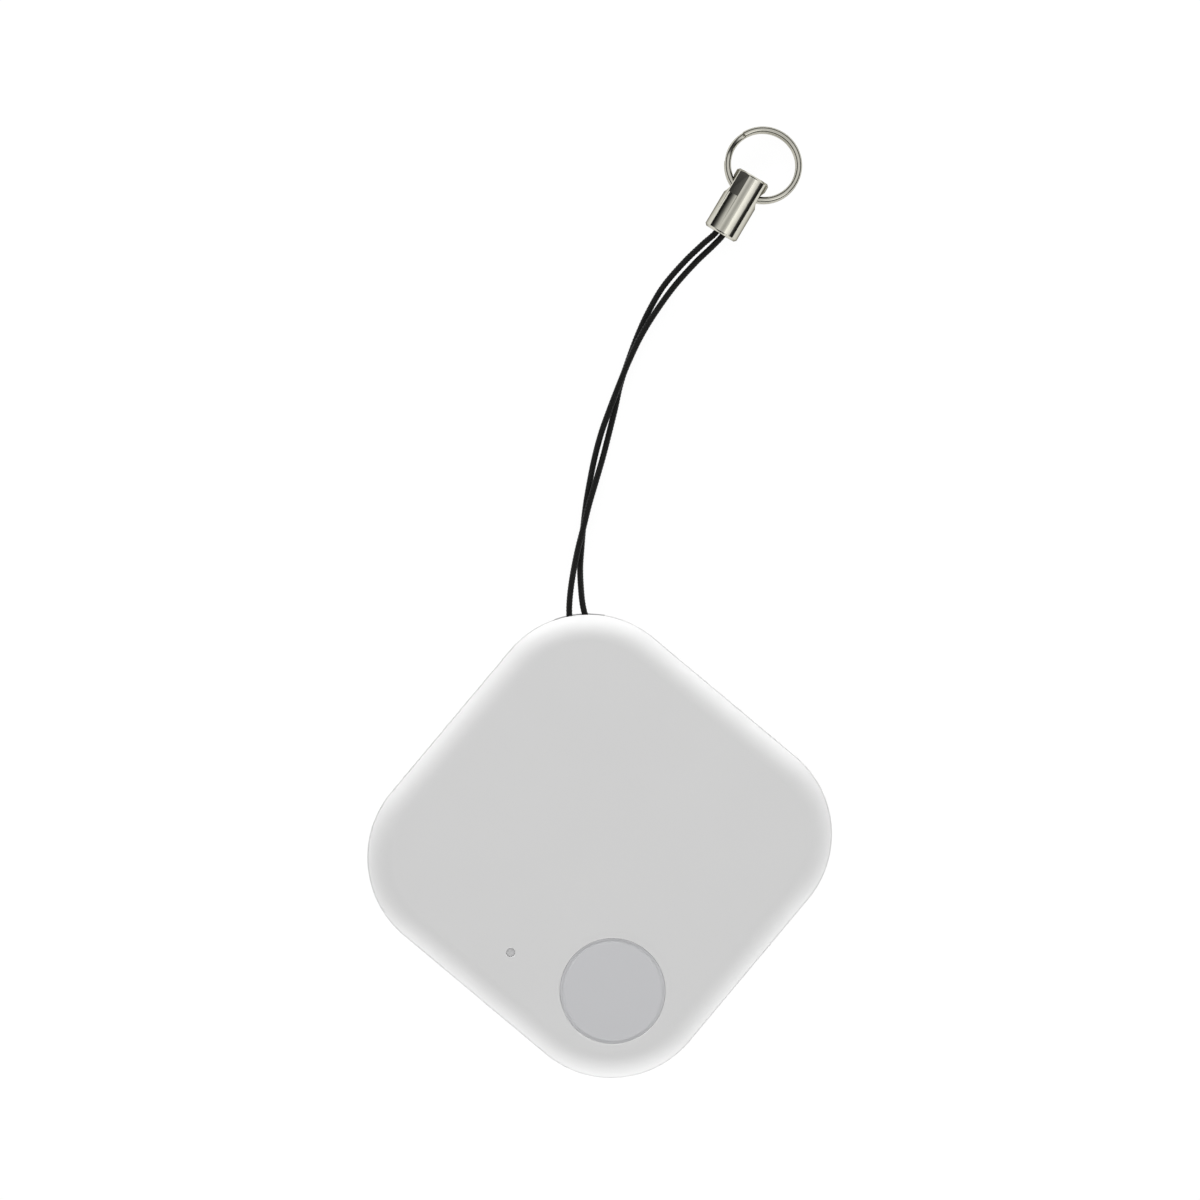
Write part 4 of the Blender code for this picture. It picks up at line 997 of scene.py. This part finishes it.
def from_axis(sheet, place, centre):
    """Distance from the upright line through a centre."""
    flat = sheet.node("ShaderNodeMapping", {}, {
        "Vector": place, "Location": (-centre[0], -centre[1], 0.0), "Scale": (1.0, 1.0, 0.0)})
    return sheet.node("ShaderNodeVectorMath", {"operation": "LENGTH"}, {0: flat},
                      output="Value")


def pressed_disc(name, dark, light, roughness, centre):
    """Pressed or drawn round metal, with fine rings about its middle."""
    material, sheet, sockets = finish_of(name, {"Metallic": 1.0})
    place = sheet.place()
    reach = from_axis(sheet, place, centre)
    stray = sheet.grain(place, DISC_SCUFFS, detail=3.0)
    rings = (reach * (2 * math.pi / DISC_LINES) + stray * 5.0).sine() * 0.5 + 0.5
    cloud = sheet.grain(place, DISC_CLOUDS)
    sheet.join(sheet.tint(rings * 0.35 + cloud * 0.65, dark, light), sockets["Base Color"])
    sheet.join(rings * 0.06 + stray * 0.12 + roughness, sockets["Roughness"])
    sheet.join(sheet.relief(rings * 0.5 + stray, strength=0.25, distance=0.000005),
               sockets["Normal"])
    return material


fit(refined("switch_base", "tact_base", edge=0.00005),
    moulded("base_black", (0.010, 0.010, 0.011), (0.028, 0.028, 0.030), roughness=0.45),
    "case", "switch_base")
fit(refined("switch_frame", "tact_frame", edge=0.00003),
    plated("frame_steel", (0.46, 0.46, 0.45), (0.62, 0.62, 0.61), roughness=0.25),
    "case", "switch_frame")
fit(refined("switch_dome", "snap_dome", edge=0.00002),
    pressed_disc("dome_steel", (0.48, 0.47, 0.45), (0.64, 0.63, 0.61), roughness=0.18,
                 centre=BUTTON_CENTRE),
    "case", "switch_dome")
fit(refined("switch_plunger", "tact_plunger", edge=0.00006),
    moulded("plunger_grey", (0.16, 0.16, 0.17), (0.24, 0.24, 0.25), roughness=0.42),
    "plunger", "switch_plunger")


# Coin cell and its contacts. A 20 mm lithium cell: a drawn steel can, crimped over a grey
# gasket on the lower cap, with the cathode pellet inside. Two gold-plated leaf springs touch
# it, and two more of the same kind reach up to the buzzer.
CELL_CENTRE = (0.0, 0.003)
fit(refined("cell_can", "coin_cell_can", edge=0.00004),
    pressed_disc("can_steel", (0.52, 0.51, 0.49), (0.68, 0.67, 0.65), roughness=0.20,
                 centre=CELL_CENTRE),
    "cell", "cell_can")
fit(refined("cell_gasket", "coin_cell_gasket", edge=0.00003),
    moulded("gasket_grey", (0.10, 0.10, 0.105), (0.17, 0.17, 0.175), roughness=0.5),
    "cell", "cell_gasket")
fit(refined("cell_cap", "coin_cell_cap", edge=0.00004),
    pressed_disc("cap_steel", (0.46, 0.455, 0.44), (0.62, 0.61, 0.59), roughness=0.24,
                 centre=CELL_CENTRE),
    "cell", "cell_cap")
fit(refined("cell_cathode", "cathode_pellet", edge=0.00006),
    moulded("pellet_black", (0.008, 0.008, 0.008), (0.030, 0.029, 0.028), roughness=0.75),
    "cell", "cell_cathode")
gold = plated("spring_gold", (0.62, 0.42, 0.14), (0.86, 0.64, 0.28), roughness=0.20)
for node, name in (("positive_contact", "can_leaf"), ("negative_contact", "cap_leaf"),
                   ("piezo_rim_spring", "buzzer_rim_leaf"),
                   ("piezo_center_spring", "buzzer_middle_leaf")):
    fit(refined(node, name, edge=0.00002), gold, "case", node)


# Buzzer. A thin brass disc, bonded by its rim under the front cover, with a silvered ceramic
# disc on its inner side. Two leaf springs from the board touch the ceramic and the brass.
BUZZER_CENTRE = (0.0, 0.005)
ELECTRODE_MARGIN = 0.0006
FIRED_GRAIN = 6000.0


def silvered_ceramic(node):
    """White piezo ceramic with a matt silver electrode that stops short of its rim."""
    low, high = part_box(node)
    material, sheet, sockets = finish_of("silvered_ceramic")
    place = sheet.place()
    reach = from_axis(sheet, place, BUZZER_CENTRE)
    silver = reach.below((high.x - low.x) / 2 - ELECTRODE_MARGIN, softness=0.00004)
    grain = sheet.grain(place, FIRED_GRAIN, detail=4.0)
    ceramic = sheet.tint(grain, (0.60, 0.57, 0.50), (0.76, 0.74, 0.68))
    silvered = sheet.tint(grain, (0.52, 0.52, 0.51), (0.70, 0.70, 0.69))
    sheet.join(sheet.tint(silver, ceramic, silvered), sockets["Base Color"])
    sheet.join(silver * 0.9, sockets["Metallic"])
    sheet.join(grain * 0.25 + 0.34, sockets["Roughness"])
    sheet.join(sheet.relief(grain + silver, strength=0.4, distance=0.00001), sockets["Normal"])
    return material


fit(refined("piezo_plate", "buzzer_plate", edge=0.00002),
    pressed_disc("buzzer_brass", (0.58, 0.40, 0.15), (0.78, 0.58, 0.27), roughness=0.22,
                 centre=BUZZER_CENTRE),
    "lid", "piezo_plate")
fit(refined("piezo_ceramic", "buzzer_ceramic", edge=0.00002), silvered_ceramic("piezo_ceramic"),
    "lid", "piezo_ceramic")


# Front cover. The same white ABS, moulded with a large soft edge. It stands a little inside
# the rear cover's rim, and has a round opening for the button and a fine one for the light.
RIM_STEP = 0.00015
FRONT_LOW = 0.0035
FRONT_TOP = 0.0070
FRONT_ROUND = 0.0026
FRONT_ROUND_STEPS = 20
REBATE_FROM_OUTSIDE = 0.00075
REBATE_TOP = 0.00445
CEILING_EDGE = 0.0006
CEILING = 0.0058
BUTTON_OPENING = 0.00542
OPENING_LIP = (0.00070, 0.00012)
LIP_STEPS = 12
LIP_TURN = math.radians(87.0)
LIGHT_CENTRE = (-0.01005, -0.010045)
LIGHT_HOLE = 0.00045
LIGHT_HOLE_LIP = (0.00016, 0.00005)


def flared_hole(item, radius, lip, centre):
    """Cuts a round hole through the cover's face, whose edge slopes in by a rounded lip."""
    wide, deep = lip
    profile = [(0.0, CEILING - OVERCUT), (radius, CEILING - OVERCUT)]
    for step in range(LIP_STEPS):
        angle = LIP_TURN * step / (LIP_STEPS - 1)
        profile.append((radius + wide * (1 - math.cos(angle)),
                        FRONT_TOP - deep + deep * math.sin(angle)))
    profile += [(profile[-1][0], FRONT_TOP + OVERCUT), (0.0, FRONT_TOP + OVERCUT)]
    cutter = turned("cutter", profile, ROUND_STEPS)
    put(cutter, Matrix.Translation((*centre, 0.0)))
    combine(item, "DIFFERENCE", cutter)


front_shell = rounded_square("front_shell", CASE_FLATS - 2 * RIM_STEP, CASE_CORNER - RIM_STEP,
                             FRONT_LOW, FRONT_TOP)
round_rim(front_shell, FRONT_TOP, FRONT_ROUND, FRONT_ROUND_STEPS)
pick(front_shell, "FACE", flat_at(FRONT_LOW, -1))
bpy.ops.mesh.inset(thickness=REBATE_FROM_OUTSIDE - RIM_STEP)
push(REBATE_TOP - FRONT_LOW)
bpy.ops.mesh.inset(thickness=WALL - REBATE_FROM_OUTSIDE)
push(CEILING - CEILING_EDGE - REBATE_TOP)
bpy.ops.mesh.inset(thickness=CEILING_EDGE, depth=-CEILING_EDGE)
flared_hole(front_shell, BUTTON_OPENING, OPENING_LIP, BUTTON_CENTRE)
flared_hole(front_shell, LIGHT_HOLE, LIGHT_HOLE_LIP, LIGHT_CENTRE)
combine(front_shell, "DIFFERENCE", cord_slot(FRONT_LOW - OVERCUT, SLOT_CEILING))
soften(front_shell, SHELL_EDGE)
fit(front_shell, cover_white, "lid", "front_cover")


# Button cap. One round moulding in a cooler white: a low crown, a narrow shelf round it, a
# flange that holds it under the front cover, and a stem that rests on the tact switch.
BUTTON_RADIUS = 0.00540
BUTTON_TOP = 0.00693
BUTTON_CROWN = 0.00017
BUTTON_EDGE = 0.00060
BUTTON_EDGE_TURN = math.radians(38.0)
BUTTON_INSIDE = 0.00445
BUTTON_SKIN = 0.0006
FLANGE_RADIUS = 0.00597
FLANGE_LOW = 0.00545
FLANGE_TOP = 0.00575
STEM_RADIUS = 0.0013
STEM_LOW = 0.00505
SHELF_TOP = 0.00684
BUTTON_FILLET = 0.00004
CROWN_STEPS = 8
EDGE_STEPS = 6


def crowned(radius, edge, crown, top, turn=math.pi / 2):
    """Profile points from the middle of a crown, and some way round its rounded edge."""
    points = []
    for step in range(CROWN_STEPS):
        reach = (radius - edge) * step / CROWN_STEPS
        points.append((reach, top + crown * (1 - (reach / (radius - edge)) ** 2)))
    for step in range(EDGE_STEPS + 1):
        angle = turn * step / EDGE_STEPS
        points.append((radius - edge + edge * math.sin(angle),
                       top - edge + edge * math.cos(angle)))
    return points


button = turned("button", crowned(BUTTON_RADIUS, BUTTON_EDGE, BUTTON_CROWN, BUTTON_TOP,
                                  BUTTON_EDGE_TURN) + [
    (BUTTON_RADIUS, SHELF_TOP), (BUTTON_RADIUS, FLANGE_TOP),
    (FLANGE_RADIUS, FLANGE_TOP), (FLANGE_RADIUS, FLANGE_LOW),
    (BUTTON_INSIDE, FLANGE_LOW), (BUTTON_INSIDE, BUTTON_TOP - BUTTON_SKIN),
    (STEM_RADIUS, BUTTON_TOP - BUTTON_SKIN), (STEM_RADIUS, STEM_LOW), (0.0, STEM_LOW)],
    ROUND_STEPS)
soften(button, BUTTON_FILLET)
put(button, Matrix.Translation((*BUTTON_CENTRE, 0.0)))
fit(button, moulded_white("button_white", (0.70, 0.703, 0.720), roughness=0.34, relief=0.25),
    "button", "button_cap")


# Light pipe. A polycarbonate pin, pressed into the front cover over the status light. Its head
# ends just under the face, where it shows as a small grey dot; that opaque grey is painted shade,
# for the dark inside seen through the pin.
PIN_RADIUS = 0.00043
PIN_TOP = 0.00695
PIN_EDGE = 0.00006
PIN_CROWN = 0.00004
PIN_FOOT_RADIUS = 0.0008
PIN_FOOT_TOP = 0.00575
PIN_FOOT_LOW = 0.00435
PIN_FILLET = 0.00002
PIN_HAZE = 6000.0


def clear_pin_painted_shade():
    """Opaque grey polycarbonate: painted shade for the dark inside seen through the pin, with
    faint haze.
    """
    material, sheet, sockets = finish_of("clear_pin_painted_shade", {
        "IOR": 1.58, "Coat Weight": 0.5, "Coat Roughness": 0.08})
    haze = sheet.grain(sheet.place(), PIN_HAZE)
    sheet.join(sheet.tint(haze, (0.60, 0.60, 0.605), (0.70, 0.70, 0.705)),
               sockets["Base Color"])
    sheet.join(haze * 0.2 + 0.18, sockets["Roughness"])
    sheet.join(sheet.relief(haze, strength=0.15, distance=0.00001), sockets["Normal"])
    return material


light_pin = turned("light_pin", crowned(PIN_RADIUS, PIN_EDGE, PIN_CROWN,
                                        PIN_TOP - PIN_CROWN) + [
    (PIN_RADIUS, PIN_FOOT_TOP), (PIN_FOOT_RADIUS, PIN_FOOT_TOP),
    (PIN_FOOT_RADIUS, PIN_FOOT_LOW), (0.0, PIN_FOOT_LOW)], ROD_SIDES)
soften(light_pin, PIN_FILLET)
put(light_pin, Matrix.Translation((*LIGHT_CENTRE, 0.0)))
fit(light_pin, clear_pin_painted_shade(), "lid", "light_pipe")
